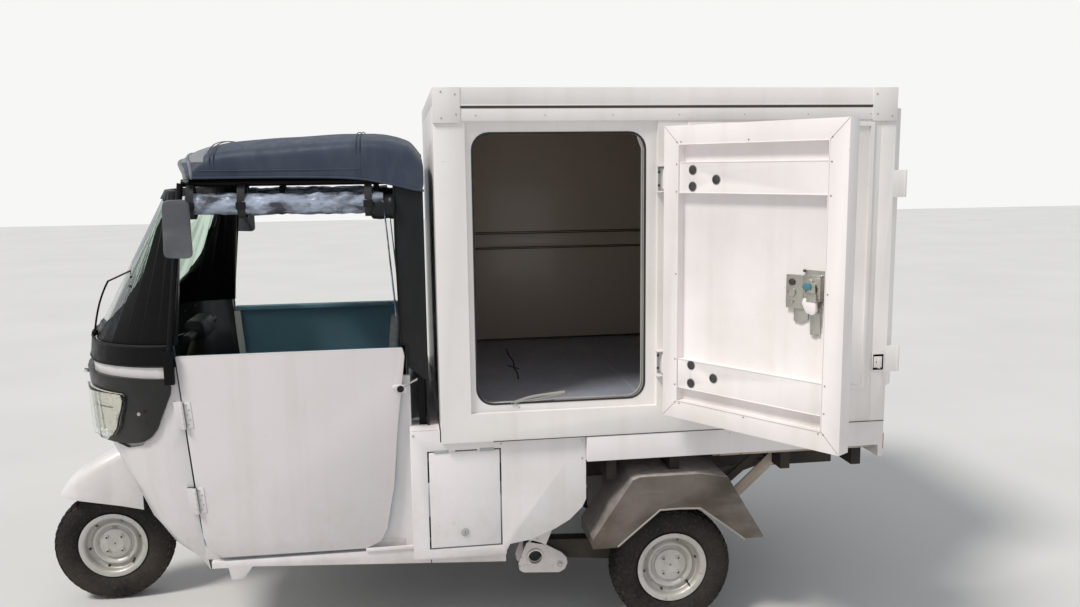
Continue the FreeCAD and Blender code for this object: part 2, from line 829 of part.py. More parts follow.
def build_wheels():
    rear_x = float(s.rear_track) / 2
    bore = float(s.axle_radius) + float(s.running_gap)
    # name, x, y, side its face looks to
    places = (
        ("front", 0, 0, 1),
        ("rear_left", rear_x, float(s.wheelbase), 1),
        ("rear_right", -rear_x, float(s.wheelbase), -1),
    )
    for name, x, y, side in places:
        place = Vector(x, y, float(s.axle_height))
        rim = chord_turn(rim_profile(), WHEEL_CHORDS, side)
        rim = rim.cut(rod((-side * 60, 0, 0), (side * 10, 0, 0), bore))
        rim.translate(place)
        keep(shaped(name + "_rim", rim), name + "_rim")
        tyre = chord_turn(tyre_profile(), WHEEL_CHORDS)
        tyre.translate(place)
        keep(shaped(name + "_tyre", tyre), name + "_tyre")


def build_cab_doors():
    """Folded steel doors with a narrow slanted foot, open inside their edge flange."""
    top, low, flange = s.door_top, s.door_foot, s.door_flange
    outer = s.cab_half_width + s.door_proud
    inner = outer - s.door_thickness
    rear = s.cab_rear - 8
    outline = [
        (s.door_front_top_y, top), (s.door_front_y, s.door_foot_front), (s.door_front_y + 18, low + 36),
        (s.door_front_y + 62, low + 3), (1081, low), (1136, low + 24), (1161, low + 72), (1193, 631),
        (1211, 832), (rear - 1, top - 30), (rear - 8, top)]
    hollow = [
        (s.door_front_top_y + flange + 1, top - flange), (s.door_front_y + flange + 1, s.door_foot_front + 4),
        (s.door_front_y + 34, low + 50), (s.door_front_y + 72, low + flange + 4), (1076, low + flange),
        (1122, low + 42), (1142, low + 80), (1173, 634), (1190, 832), (rear - flange - 8, top - flange)]
    skin = plate("cab_door_skin", "side", outer - s.door_skin, s.door_skin, outline)
    rim = plate("cab_door_rim", "side", inner, s.door_thickness - s.door_skin, outline, [hollow])
    pull = plate("cab_door_pull", "side", outer, 16, [
        (1198, 1008), (1204, 1016), (1246, 1016), (1252, 1008), (1250, 984), (1222, 990)])
    left = fuse([skin, rim, pull], "cab_door_left")
    keep(left, "cab_door_left")
    keep(mirrored(left, "cab_door_right"), "cab_door_right")


def build_cab_roof():
    """Tubes that carry the canopy: side rails, cross bows, rear legs and thin front posts."""
    r = float(s.rail_tube_radius)
    half = float(s.canopy_half_width) - float(s.rail_tube_inset)
    z = float(s.rail_tube_height)
    front_y, rear_y = 492.0, 1307.7
    leg_foot = float(s.side_panel_top) + float(s.seat_gap)
    tubes = []
    for side in (1, -1):
        x = side * half
        tubes.append(facet_rod((x, front_y, z), (x, rear_y + r, z), r))
        tubes.append(Part.makeBox(2 * r, 2 * r, z - leg_foot, Vector(x - r, rear_y - r, leg_foot)))
        post_x = side * (float(s.cab_half_width) + 12)
        tubes.append(facet_rod((post_x, 422, 1150), (side * (half + 22), front_y, z), 11))
        tubes.append(Part.makeBox(24, 32, 119, Vector(post_x - 12 + side * float(s.seat_gap), 404, 1056)))
    for y in (front_y + 26, 880.0, rear_y):
        tubes.append(facet_rod((-half, y, z), (half, y, z), r))
    keep(shaped("cab_roof_frame", tubes[0].fuse(tubes[1:]).removeSplitter()), "cab_roof_frame")


# Canopy, from a table of upright sections and a bowed front edge
# y, shoulder z, crown z
CANOPY_SECTIONS = (
    (340, 1776, 1834),
    (500, 1840, 1900),
    (612, 1880, 1925),
    (1110, 1912, 1948),
    (1285, 1886, 1922),
    (1334, 1830, 1860),
)
# x, y
CANOPY_FRONT = ((0, 372), (250, 396), (440, 446), (580, 488), (622, 520))


def canopy_section(row, inset, foot):
    y, shoulder, crown = row
    half = float(s.canopy_half_width) - inset
    shoulder -= inset
    crown -= inset
    side = [(half, foot), (half, shoulder - 46), (half - 14, shoulder - 14), (half - 52, shoulder)]
    top = [(half * part, shoulder + (crown - shoulder) * (1 - part * part)) for part in (0.66, 0.33)]
    points = side + top + [(0, crown)] + [(-x, z) for x, z in reversed(side + top)]
    return [Vector(x, y, z) for x, z in points]


def canopy_solid(inset, foot):
    """The canopy as a full solid with its bowed front, set in by an inset."""
    rows = []
    for i, (y, shoulder, crown) in enumerate(CANOPY_SECTIONS):
        rear = y - inset if i == len(CANOPY_SECTIONS) - 1 else y
        rows.append((rear, shoulder, crown))
    solid = loft([canopy_section(row, inset, foot) for row in rows])
    front = [(x, y + inset) for x, y in CANOPY_FRONT]
    plan = [(-x, y) for x, y in reversed(front[1:])] + front
    width = float(s.canopy_half_width) + 20
    plan += [(width, front[-1][1] + 10), (width, 1500), (-width, 1500), (-width, front[-1][1] + 10)]
    return solid.common(plan_prism(plan, foot - 10, 2000))


def build_canopy():
    foot = float(s.valance_foot)
    outer = canopy_solid(0, foot)
    inner = canopy_solid(float(s.canopy_sheet), foot - 1)
    keep(shaped("canopy", outer.cut(inner)), "canopy")


def build_cab_back():
    """Coated sheet behind the seat, wrapped round each rear post."""
    half = s.canopy_half_width - 6
    low, high = s.side_panel_top + s.seat_gap, s.valance_foot - s.seat_gap
    back = block("back_sheet", (-half, 1324, low), (half, 1332, high))
    cover = plate("post_cover", "side", half - 8, 8, [
        (1257, 1078), (1332, 1018), (1332, high), (1226, high), (1234, 1162), (1257, 1160)])
    keep(fuse([back, cover, mirrored(cover, "post_cover_far")], "cab_back"), "cab_back")


def build_curtain_rolls():
    x, z = 596.0, 1692.0
    roll = facet_rod((x, 505, z), (x, 1218, z), float(s.roll_radius), 14)
    top = float(s.rail_tube_height) - float(s.rail_tube_radius) - float(s.seat_gap)
    straps = [Part.makeBox(6, 26, 38, Vector(583, y, top - 38)) for y in (530, 690, 1110)]
    roll = roll.fuse(straps).removeSplitter()
    keep(shaped("curtain_rolls", Part.makeCompound([roll, across_cab(roll)])), "curtain_rolls")


def build_seat():
    w, top = s.seat_half_width, s.seat_height
    rear = s.cab_rear - 8
    front = rear - s.seat_depth
    keep(block("seat_cushion", (-w, front, top - s.seat_pad), (w, rear, top)), "seat_cushion")
    keep(block("seat_back", (-w, rear - s.seat_back_pad, top + s.seat_gap), (w, rear, s.seat_back_top)), "seat_back")
    keep(block("seat_base", (-w + 10, front + 20, s.cab_floor_top),
               (w - 10, rear + 8, top - s.seat_pad - s.seat_gap)), "seat_base")


def build_dashboard():
    shelf = side_prism([(20, 1110), (150, 1090), (205, 1120), (200, 1176), (20, 1176)], -560, 560)
    inner = front_solid(COWL_SECTIONS, float(s.cab_wall) + float(s.seat_gap), 0, LINING_CHORDS)
    keep(shaped("dashboard", shelf.common(inner)), "dashboard")


HATCH_HINGE_PLACES = (1380, 1500)


def build_side_panels():
    """Sheet panels below the box, each with a lift-up hatch under two hinges."""
    x, gap = s.side_panel_inner, s.panel_gap
    front = s.cab_rear + 2
    seat = s.box_foot - s.seat_gap
    foot = s.hatch_foot - 33
    hole = rectangle(s.hatch_front, s.hatch_rear, s.hatch_foot, s.hatch_top)
    panel = plate("side_panel_left", "side", x, s.side_panel_sheet, [
        (front, foot), (1600, foot), (1618, s.hatch_foot + 2), (1694, 408), (1790, 445), (1848, 478),
        (s.side_panel_rear - 14, 526), (s.side_panel_rear, 556), (s.side_panel_rear, seat), (s.box_front - 4, seat),
        (s.box_front - 4, s.side_panel_top), (front, s.side_panel_top)], [hole])
    parts = [panel]
    pin_x, pin_z = float(s.side_panel_half_width) - 3, float(s.hatch_top) - 3
    for y in HATCH_HINGE_PLACES:
        pin = rod((pin_x, y, pin_z), (pin_x, y + 40, pin_z), 2.7)
        seat_block = Part.makeBox(4, 40, 3.5, Vector(pin_x - 2, y, pin_z))
        parts.append(shaped("hatch_hinge", pin.fuse(seat_block)))
    left = fuse(parts, "side_panel_left")
    keep(left, "side_panel_left")
    keep(mirrored(left, "side_panel_right"), "side_panel_right")
    flap = plate("hatch_left", "side", s.side_panel_half_width - s.hatch_sheet, s.hatch_sheet, rectangle(
        s.hatch_front + gap, s.hatch_rear - gap, s.hatch_foot + gap, s.hatch_top - gap))
    keep(flap, "hatch_left")
    keep(mirrored(flap, "hatch_right"), "hatch_right")


CROSS_MEMBER_PLACES = (1640, 2060, 2400, 3005)
FLOOR_MEMBER_PLACES = (600, 1180)
OUTRIGGER_PLACES = (1650, 2000, 2702, 3000)


def build_chassis():
    """Two long rails that kick up behind the cab, with members between and beams on top."""
    low, high, spread = s.rail_foot, s.rail_top, s.rail_spread
    floor_foot = s.cab_floor_top - s.cab_floor_sheet - s.seat_gap
    rear = s.box_rear - 30
    rail = plate("chassis_rail", "side", spread, s.rail_width, [
        (560, s.sill_foot + 2), (1330, s.sill_foot + 2), (1560, low), (rear, low), (rear, high),
        (1530, high), (1300, floor_foot), (560, floor_foot)])
    keep(pair(rail, "chassis_rails"), "chassis_rails")
    members = []
    reach = spread - s.seat_gap
    for y in CROSS_MEMBER_PLACES:
        members.append(block("cross_member", (-reach, y, low + 10), (reach, y + s.member_width, high)))
    for y in FLOOR_MEMBER_PLACES:
        members.append(block("floor_member", (-reach, y, s.sill_foot + 4), (reach, y + s.beam_width, floor_foot)))
    keep(group(members, "cross_members"), "cross_members")
    beams = []
    wide = s.side_panel_inner - 5 - s.deck_sheet - s.seat_gap
    foot, top = high + s.seat_gap, s.box_foot - s.deck_sheet - s.seat_gap
    for y in OUTRIGGER_PLACES:
        beams.append(block("outrigger", (-wide, y, foot), (wide, y + s.beam_width, top)))
    carrier = block("fender_beam", (-wide, 2250, foot + 25), (wide, 2290, top))
    packer = block("fender_packer", (-spread - s.rail_width, 2250, foot), (spread + s.rail_width, 2290, foot + 26))
    beams.append(fuse([carrier, packer], "fender_carrier"))
    keep(group(beams, "deck_beams"), "deck_beams")


def build_deck():
    """A tray under the box, open below, narrow between the side panels, with an apron behind."""
    half, sheet = s.box_half_width, s.deck_sheet
    inner = s.side_panel_inner - 5
    start = s.side_panel_rear + 1

    def outline(inset):
        return [
            (-inner + inset, s.box_front + inset), (inner - inset, s.box_front + inset),
            (inner - inset, start + inset), (half - inset, start + inset),
            (half - inset, s.box_rear - inset), (-half + inset, s.box_rear - inset),
            (-half + inset, start + inset), (-inner + inset, start + inset)]

    tray = plate("deck_tray", "flat", s.skirt_foot, s.deck_depth, outline(0))
    hollow = plate("deck_hollow", "flat", s.skirt_foot - 1, s.deck_depth - sheet + 1, outline(sheet))
    apron = plate("rear_apron", "front", -s.box_rear, sheet, rectangle(
        -half, half, s.skirt_foot - s.apron_depth, s.skirt_foot + 1))
    keep(fuse([cut(tray, hollow, "deck_open_tray"), apron], "deck_skirt"), "deck_skirt")


def build_box():
    """Insulated floor, walls and roof slab of the box, which meet at its real joints."""
    half, wall = s.box_half_width, s.box_wall
    low, high = s.box_foot, s.box_roof_foot
    rear = s.box_inner_rear
    keep(block("box_floor", (-half + wall, s.box_front + wall, low), (half - wall, rear, s.box_floor_top)),
         "box_floor")
    keep(block("box_front_wall", (-half + wall, s.box_front, low), (half - wall, s.box_front + wall, high)),
         "box_front_wall")
    keep(block("right_wall", (-half, s.box_front, low), (-half + wall, rear, high)), "box_right_wall")
    build_left_wall()
    build_roof()
    build_rear_frame()


def build_left_wall():
    """The wall with the side doorway: a step round a round-cornered opening, and
    a raised moulding behind it."""
    half, wall, step = s.box_half_width, s.box_wall, s.step_depth
    outline = rectangle(s.box_front, s.box_inner_rear, s.box_foot, s.box_roof_foot)
    stepped = rectangle(s.opening_front - s.step_front, s.opening_rear + s.step_rear,
                        s.opening_foot - s.step_foot, s.opening_top + s.step_head)
    opening = (s.opening_front, s.opening_rear, s.opening_foot, s.opening_top, s.opening_corner)
    core = plate("left_wall_core", "side", half - wall, wall - step, outline, round_hole=opening)
    skin = plate("left_wall_skin", "side", half - step, step, outline, [stepped])
    front, rear = s.opening_rear + 155, s.box_rear - 87
    foot, top, bar = s.box_floor_top + 14, s.box_roof_foot - 66, 16
    moulding = plate("moulding", "side", half, 8, rectangle(front, rear, foot, top),
                     [rectangle(front + bar, rear - bar, foot + bar, top - bar)])
    keep(fuse([core, skin, moulding], "box_left_wall"), "box_left_wall")


def build_roof():
    """The roof slab with a slotted edge rail along each side and a cap on each corner."""
    half, sheet = s.box_half_width, s.edge_rail_sheet
    top, foot = s.box_top, s.box_top - s.edge_rail_height
    slab = block("roof_slab", (-half, s.box_front, s.box_roof_foot), (half, s.box_rear, top))
    slot_top = top - 64
    parts = [slab]
    # low z, high z, thickness of each band of the rail
    bands = ((foot, slot_top - s.edge_slot, sheet), (slot_top - s.edge_slot, slot_top, 1),
             (slot_top, top, sheet))
    for low, high, thick in bands:
        parts.append(block("rail_band", (half, s.box_front, low), (half + thick, s.box_inner_rear, high)))
        parts.append(block("rail_band_far", (-half - thick, s.box_front, low), (-half, s.box_inner_rear, high)))
    for front, rear in ((s.box_front, s.box_front + s.corner_cap), (s.box_rear - s.corner_cap, s.box_rear)):
        low = foot - 6
        parts.append(block("corner_cap", (half, front, low), (half + sheet + 3, rear, top)))
        parts.append(block("corner_cap_far", (-half - sheet - 3, front, low), (-half, rear, top)))
    keep(fuse(parts, "box_roof"), "box_roof")


REAR_HINGE_RISES = (128, 802)


def build_rear_frame():
    """The metal frame of the rear doorway with two hinges on each side, and the bracket
    that holds the open side door back."""
    half, side = s.box_half_width, s.rear_frame_width
    frame = plate("rear_frame", "front", -s.box_rear, s.rear_frame_depth,
                  rectangle(-half, half, s.box_foot, s.box_roof_foot),
                  [rectangle(-half + side, half - side, s.box_floor_top + 40, s.box_roof_foot - side)])
    eye_low, eye_high = s.box_floor_top + 84, s.box_floor_top + 148
    parts = [
        frame,
        plate("hold_back_plate", "side", half, 4, rectangle(s.box_rear - 57, s.box_rear - 14, eye_low, eye_high)),
        plate("hold_back_eye", "side", half, 24, rectangle(
            s.box_rear - 44, s.box_rear - 36, eye_low + 12, eye_high - 12)),
    ]
    x, y, r = s.rear_hinge_x, s.rear_hinge_y, s.rear_hinge_radius
    for rise in REAR_HINGE_RISES:
        low = s.box_floor_top + rise - s.rear_hinge_height / 2
        high = low + s.rear_hinge_height
        barrel = upright("rear_barrel", x, y, low, high, r)
        ear = block("rear_ear", (x - 4, s.box_rear - 1, low), (x + 6, y, high))
        hinge = fuse([barrel, ear], "rear_hinge")
        parts += [hinge, mirrored(hinge, "rear_hinge_far")]
    keep(fuse(parts, "box_rear_frame"), "box_rear_frame")


def build_rear_doors():
    """Two leaves, each with an upright lock bar on the outside."""
    gap, t = s.rear_door_gap, s.rear_door_thickness
    low, high = s.box_floor_top + 14, s.box_roof_foot - 14
    edge = s.rear_hinge_x - s.rear_hinge_radius - s.seat_gap
    face = s.box_rear + gap + t
    leaf = plate("rear_leaf", "front", -face, t, rectangle(gap / 2 + 0.5, edge, low, high))
    bar_x, bar_out = 90, face + 18
    parts = [leaf, upright("lock_bar", bar_x, bar_out, low + 30, high - 30, 10, 12)]
    for z in (low + 90, low + 500, high - 130):
        parts.append(block("bar_keeper", (bar_x - 24, face - 1, z), (bar_x + 24, bar_out + 14, z + 34)))
    parts.append(block("lock_handle", (bar_x, face + 10, low + 380), (bar_x + 190, face + 24, low + 406)))
    left = fuse(parts, "rear_door_left")
    keep(left, "rear_door_left")
    keep(mirrored(left, "rear_door_right"), "rear_door_right")


SIDE_HINGE_RISES = (156, 833)
# distance behind the door's front edge, height above its lower edge
PLATE_BOLTS = ((589, 896), (589, 839), (489, 863), (587, 205), (587, 139), (489, 172))


def build_side_door():
    """The insulated side door, shown open: a mitred edge frame round a deep recess, two
    cross plates with bolt holes, and a pinned hinge at each end of them."""
    half, gap, thick = float(s.box_half_width), float(s.side_door_gap), float(s.side_door_thickness)
    inner, outer = half + gap, half + gap + thick
    front, rear = float(s.side_door_front), float(s.side_door_rear)
    foot, top = float(s.side_door_foot), float(s.side_door_top)
    band, recess = float(s.side_door_frame), float(s.side_door_recess)
    slab = Part.makeBox(thick, rear - front, top - foot, Vector(inner, front, foot))
    hollow = side_prism(rounded([(front + band, foot + band), (rear - band, foot + band), (rear - band, top - band),
                                 (front + band, top - band)], (0, 0, 0, 0), 1), inner - 1, inner + recess)
    door = slab.cut(hollow)
    inset, height = float(s.cross_plate_inset), float(s.cross_plate_height)
    for low in (foot + band + 50, top - band - inset - height):
        cross = side_prism([(front + band - 1, low), (rear - band + 1, low), (rear - band + 1, low + height),
                            (front + band - 1, low + height)], inner + 3, inner + recess + 1)
        door = door.fuse(cross)
    for back, rise in PLATE_BOLTS:
        place = Vector(inner, front + back, foot + rise)
        door = door.cut(facet_rod(place, place + Vector(9, 0, 0), 14))
    door = door.fuse(Part.makeBox(8, 60, 120, Vector(outer - 1, front + 40, foot + 470)))
    door = door.fuse(Part.makeBox(22, 20, 110, Vector(outer, front + 60, foot + 420)))
    pin = Vector(float(s.side_hinge_x), float(s.side_hinge_y), 0)
    knuckle_r, pin_r = float(s.side_hinge_knuckle), float(s.side_hinge_pin)
    ear, tall = 9.0, float(s.side_hinge_height)
    brackets = []
    for rise in SIDE_HINGE_RISES:
        low = float(s.box_floor_top) + rise - tall / 2
        inner_low, inner_tall = low + ear + 1, tall - 2 * ear - 2
        knuckle = Part.makeCylinder(knuckle_r, inner_tall, Vector(pin.x, pin.y, inner_low))
        leaf = Part.makeBox(8, pin.y - rear + 6, inner_tall, Vector(pin.x + 4, rear - 6, inner_low))
        bore = Part.makeCylinder(pin_r + 0.2, tall, Vector(pin.x, pin.y, low))
        door = door.fuse([knuckle, leaf]).cut(bore)
        parts = [Part.makeCylinder(pin_r, tall, Vector(pin.x, pin.y, low))]
        for z in (low, low + tall - ear):
            parts.append(Part.makeBox(pin.x - half, 2 * knuckle_r, ear, Vector(half, pin.y - knuckle_r, z)))
            parts.append(Part.makeCylinder(knuckle_r, ear, Vector(pin.x, pin.y, z)))
        brackets.append(parts[0].fuse(parts[1:]).removeSplitter())
    door = door.removeSplitter()
    latch = side_door_latch(inner + recess, front, foot)
    for shape in (door, latch):
        shape.rotate(pin, Vector(0, 0, 1), float(s.side_door_angle))
    keep(shaped("side_door", door), "side_door")
    keep(shaped("side_door_latch", latch), "side_door_latch")
    keep(shaped("side_door_hinges", Part.makeCompound(brackets)), "side_door_hinges")


def side_door_latch(panel, front, foot):
    """A rotary latch on the inner panel: base, housing, cable bracket and paddle."""
    seat = panel - float(s.seat_gap)
    base = Part.makeBox(4, 76, 117, Vector(seat - 4, front + 76, foot + 460))
    parts = [
        Part.makeBox(26, 56, 66, Vector(seat - 30, front + 84, foot + 490)),
        Part.makeBox(14, 66, 108, Vector(seat - 14, front + 150, foot + 451)),
        Part.makeBox(20, 34, 26, Vector(seat - 44, front + 90, foot + 480)),
        Part.makeBox(6, 28, 90, Vector(seat - 10, front + 94, foot + 373)),
        facet_rod((seat - 40, front + 122, foot + 536), (seat - 2, front + 122, foot + 536), 17),
    ]
    return base.fuse(parts).removeSplitter()


def build_running_gear():
    """Trailing arms with their stub axles, springs, drive shafts and the engine between them."""
    z, y = float(s.axle_height), float(s.wheelbase)
    inner, width = float(s.arm_inner), float(s.arm_width)
    hub_in = float(s.rear_track) / 2 - float(s.rim_width) / 2
    px, pz = float(s.pivot_y), float(s.pivot_height)
    arm = side_prism([(px - 40, pz - 32), (px + 40, pz - 36), (y + 52, z - 52), (y + 52, z + 52),
                      (y - 60, z + 56), (px + 40, pz + 36), (px - 40, pz + 32)], inner, inner + width)
    stub = facet_rod((inner + 1, y, z), (float(s.rear_track) / 2 + 8, y, z), float(s.axle_radius), 16)
    boss = facet_rod((inner + 1, y, z), (hub_in - 3, y, z), 60, 16)
    arm = arm.fuse([stub, boss]).cut(rod((inner - 1, px, pz), (inner + width + 1, px, pz), 14.3))
    keep(shaped("trailing_arms", Part.makeCompound([arm, across_cab(arm)])), "trailing_arms")
    build_springs(inner)
    gap, half = s.seat_gap, s.engine_half_width
    shaft = facet_rod((float(half + gap), y, z), (inner - float(gap), y, z), 16)
    keep(shaped("drive_shafts", Part.makeCompound([shaft, across_cab(shaft)])), "drive_shafts")
    top = s.rail_foot + 10 - gap
    keep(block("engine_block", (-half, s.wheelbase - 175, 196), (half, s.wheelbase + 175, top)), "engine_block")
    build_pivot_brackets(px, pz)


def build_springs(inner):
    z, y = s.axle_height, s.wheelbase
    x = s.rail_spread + s.rail_width / 2
    body = upright("spring_body", x, y - 20, z + 56, s.rail_foot - s.seat_gap, s.spring_radius, 16)
    seat = block("spring_seat", (x - s.spring_radius, y - 65, z + 44), (s.arm_inner - s.seat_gap, y + 25, z + 57))
    keep(pair(fuse([body, seat], "rear_spring"), "rear_springs"), "rear_springs")


def build_pivot_brackets(px, pz):
    """Hangers for the trailing arms: two cheeks under a top plate, with the pin between."""
    top = s.rail_foot - s.seat_gap
    low_y, high_y = s.pivot_y - 80, s.pivot_y + 160
    cheek = [(low_y, top), (high_y, top), (s.pivot_y + 121, s.pivot_height + 52),
             (s.pivot_y + 121, s.pivot_height - 70), (s.pivot_y - 64, s.pivot_height - 81),
             (s.pivot_y - 64, s.pivot_height + 52)]
    gap, sheet = 15, 8
    inner_x, outer_x = s.arm_inner - gap - sheet, s.arm_inner + s.arm_width + gap
    outer = plate("pivot_cheek_outer", "side", outer_x, sheet, cheek)
    inner = plate("pivot_cheek_inner", "side", inner_x, sheet, cheek)
    roof = block("pivot_roof", (s.rail_spread, low_y, top - sheet), (outer_x + sheet, high_y, top))
    pin = shaped("pivot_pin", rod((float(inner_x) + 3, px, pz), (float(outer_x) + 5, px, pz), 14))
    keep(pair(fuse([outer, inner, roof, pin], "pivot_bracket"), "pivot_brackets"), "pivot_brackets")


# side outlines of a rear fender: y, z
FENDER_OUTER = ((1933, 398), (2088, 625), (2116, 635), (2352, 635), (2464, 614), (2611, 368))
FENDER_INNER = ((2538, 353), (2354, 496), (2195, 499), (2030, 362))


def build_fenders():
    """Moulded arches with a flat outer face and a stay up to the deck at the rear."""
    sheet = float(s.fender_sheet)
    low, high = float(s.fender_inner), float(s.fender_outer)
    outline = list(FENDER_OUTER) + [(2611, 300), (1933, 300)]
    core = offset_outline(outline, -sheet)
    mouth = side_prism(list(FENDER_INNER) + [(2030, 290), (2538, 290)], low - 1, high + 1)
    legs_off = Part.makeBox(high - low + 20, 900, 120, Vector(low - 10, 1900, 240))
    shell = side_prism(outline, low, high).cut(side_prism(core, low - 1, high - sheet))
    shell = shell.cut(mouth).cut(legs_off)
    stay = side_prism([(2488, 568.5), (2505.5, 538.5), (2742, float(s.rail_top)), (2704, float(s.rail_top))],
                      low + 4, low + 44)
    fender = shell.fuse(stay).removeSplitter()
    keep(shaped("rear_fenders", Part.makeCompound([fender, across_cab(fender)])), "rear_fenders")


def build_small_parts():
    head = side_prism(rounded([(446, 1512), (541, 1508), (538, 1710), (452, 1708)], (18, 18, 22, 22), 3), 700, 716)
    arm = facet_rod((631, 472, 1585), (702, 486, 1600), 7, 8)
    mirror = head.fuse(arm).removeSplitter()
    keep(shaped("mirrors", Part.makeCompound([mirror, across_cab(mirror)])), "mirrors")
    foot = s.skirt_foot - s.apron_depth
    lamp = block("tail_lamp_left", (500, s.box_rear + s.seat_gap, foot + 7), (660, s.box_rear + 40, foot + 75))
    keep(pair(lamp, "tail_lamps"), "tail_lamps")


def build_all():
    for build in (build_cab_front, build_windscreen, build_cab_floor, build_rear_bulkhead, build_steering,
                  build_wheels, build_cab_doors, build_cab_roof, build_canopy, build_cab_back,
                  build_curtain_rolls, build_seat, build_dashboard, build_side_panels, build_chassis,
                  build_deck, build_box, build_rear_doors, build_side_door, build_running_gear,
                  build_fenders, build_small_parts):
        build()
    doc.recompute()


def write_pieces():
    os.makedirs("parts", exist_ok=True)
    for node in doc.Objects:
        if "Invalid" in node.State or "Error" in node.State:
            raise RuntimeError("%s did not build: %s" % (node.Label, node.State))
    for label, node in pieces.items():
        shape = node.Shape
        if shape.isNull() or not shape.isValid():
            raise RuntimeError("%s has no valid shape" % label)
        shape.exportStep("parts/%s.step" % label)
        print("%-18s solids %d volume %.0f" % (label, len(shape.Solids), shape.Volume))


build_all()
write_pieces()
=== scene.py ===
"""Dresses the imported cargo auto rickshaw: painted metal, moulded plastic, cloth, glass and
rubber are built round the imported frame. Lengths in tables are in millimetres."""
from __future__ import annotations

import json
import logging
import math
from collections.abc import Iterator, Sequence
from contextlib import contextmanager
from dataclasses import dataclass, replace
from enum import Enum

import bpy
from mathutils import Matrix, Vector

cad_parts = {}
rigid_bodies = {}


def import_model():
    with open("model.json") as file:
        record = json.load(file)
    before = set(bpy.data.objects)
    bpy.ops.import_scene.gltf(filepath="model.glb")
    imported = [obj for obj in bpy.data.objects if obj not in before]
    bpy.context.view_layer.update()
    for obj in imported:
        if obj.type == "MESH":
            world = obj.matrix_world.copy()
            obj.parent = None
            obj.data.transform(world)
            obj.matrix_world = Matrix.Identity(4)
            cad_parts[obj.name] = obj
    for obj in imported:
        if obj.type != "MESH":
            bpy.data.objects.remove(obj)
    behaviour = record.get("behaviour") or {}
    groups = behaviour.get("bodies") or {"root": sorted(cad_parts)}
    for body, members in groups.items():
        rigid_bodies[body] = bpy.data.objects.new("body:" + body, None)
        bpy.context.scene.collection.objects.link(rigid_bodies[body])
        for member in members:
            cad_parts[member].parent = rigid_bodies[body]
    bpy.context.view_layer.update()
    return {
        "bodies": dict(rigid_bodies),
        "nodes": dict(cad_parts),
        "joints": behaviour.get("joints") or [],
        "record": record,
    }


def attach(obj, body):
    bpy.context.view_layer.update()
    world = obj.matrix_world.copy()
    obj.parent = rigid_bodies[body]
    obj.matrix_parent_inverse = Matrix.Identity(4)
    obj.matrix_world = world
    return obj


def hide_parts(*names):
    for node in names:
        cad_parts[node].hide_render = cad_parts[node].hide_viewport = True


log = logging.getLogger("rickshaw")
Point = tuple[float, float, float]
Colour = tuple[float, float, float]
Outline = Sequence[tuple[float, float]]
BlockTable = Sequence[tuple[str, str, float, Point, Point]]
SIDES = ((1, "left"), (-1, "right"))


def at(x: float, y: float, z: float) -> Vector:
    """A place given in millimetres, in metres."""
    return Vector((x, y, z)) / 1000


def side_view(x: float, outline: Outline) -> list[Vector]:
    """Places at one x from pairs of y and z in millimetres; the result is in metres."""
    return [at(x, y, z) for y, z in outline]


class Look(Enum):
    """What kind of surface a finish is, which chooses its pattern."""

    PAINT = "paint"
    CLEAN = "clean"
    PLASTIC = "plastic"
    METAL = "metal"
    CLOTH = "cloth"
    LEATHER = "leather"
    RUBBER = "rubber"
    GLASS = "glass"
    FILM = "film"


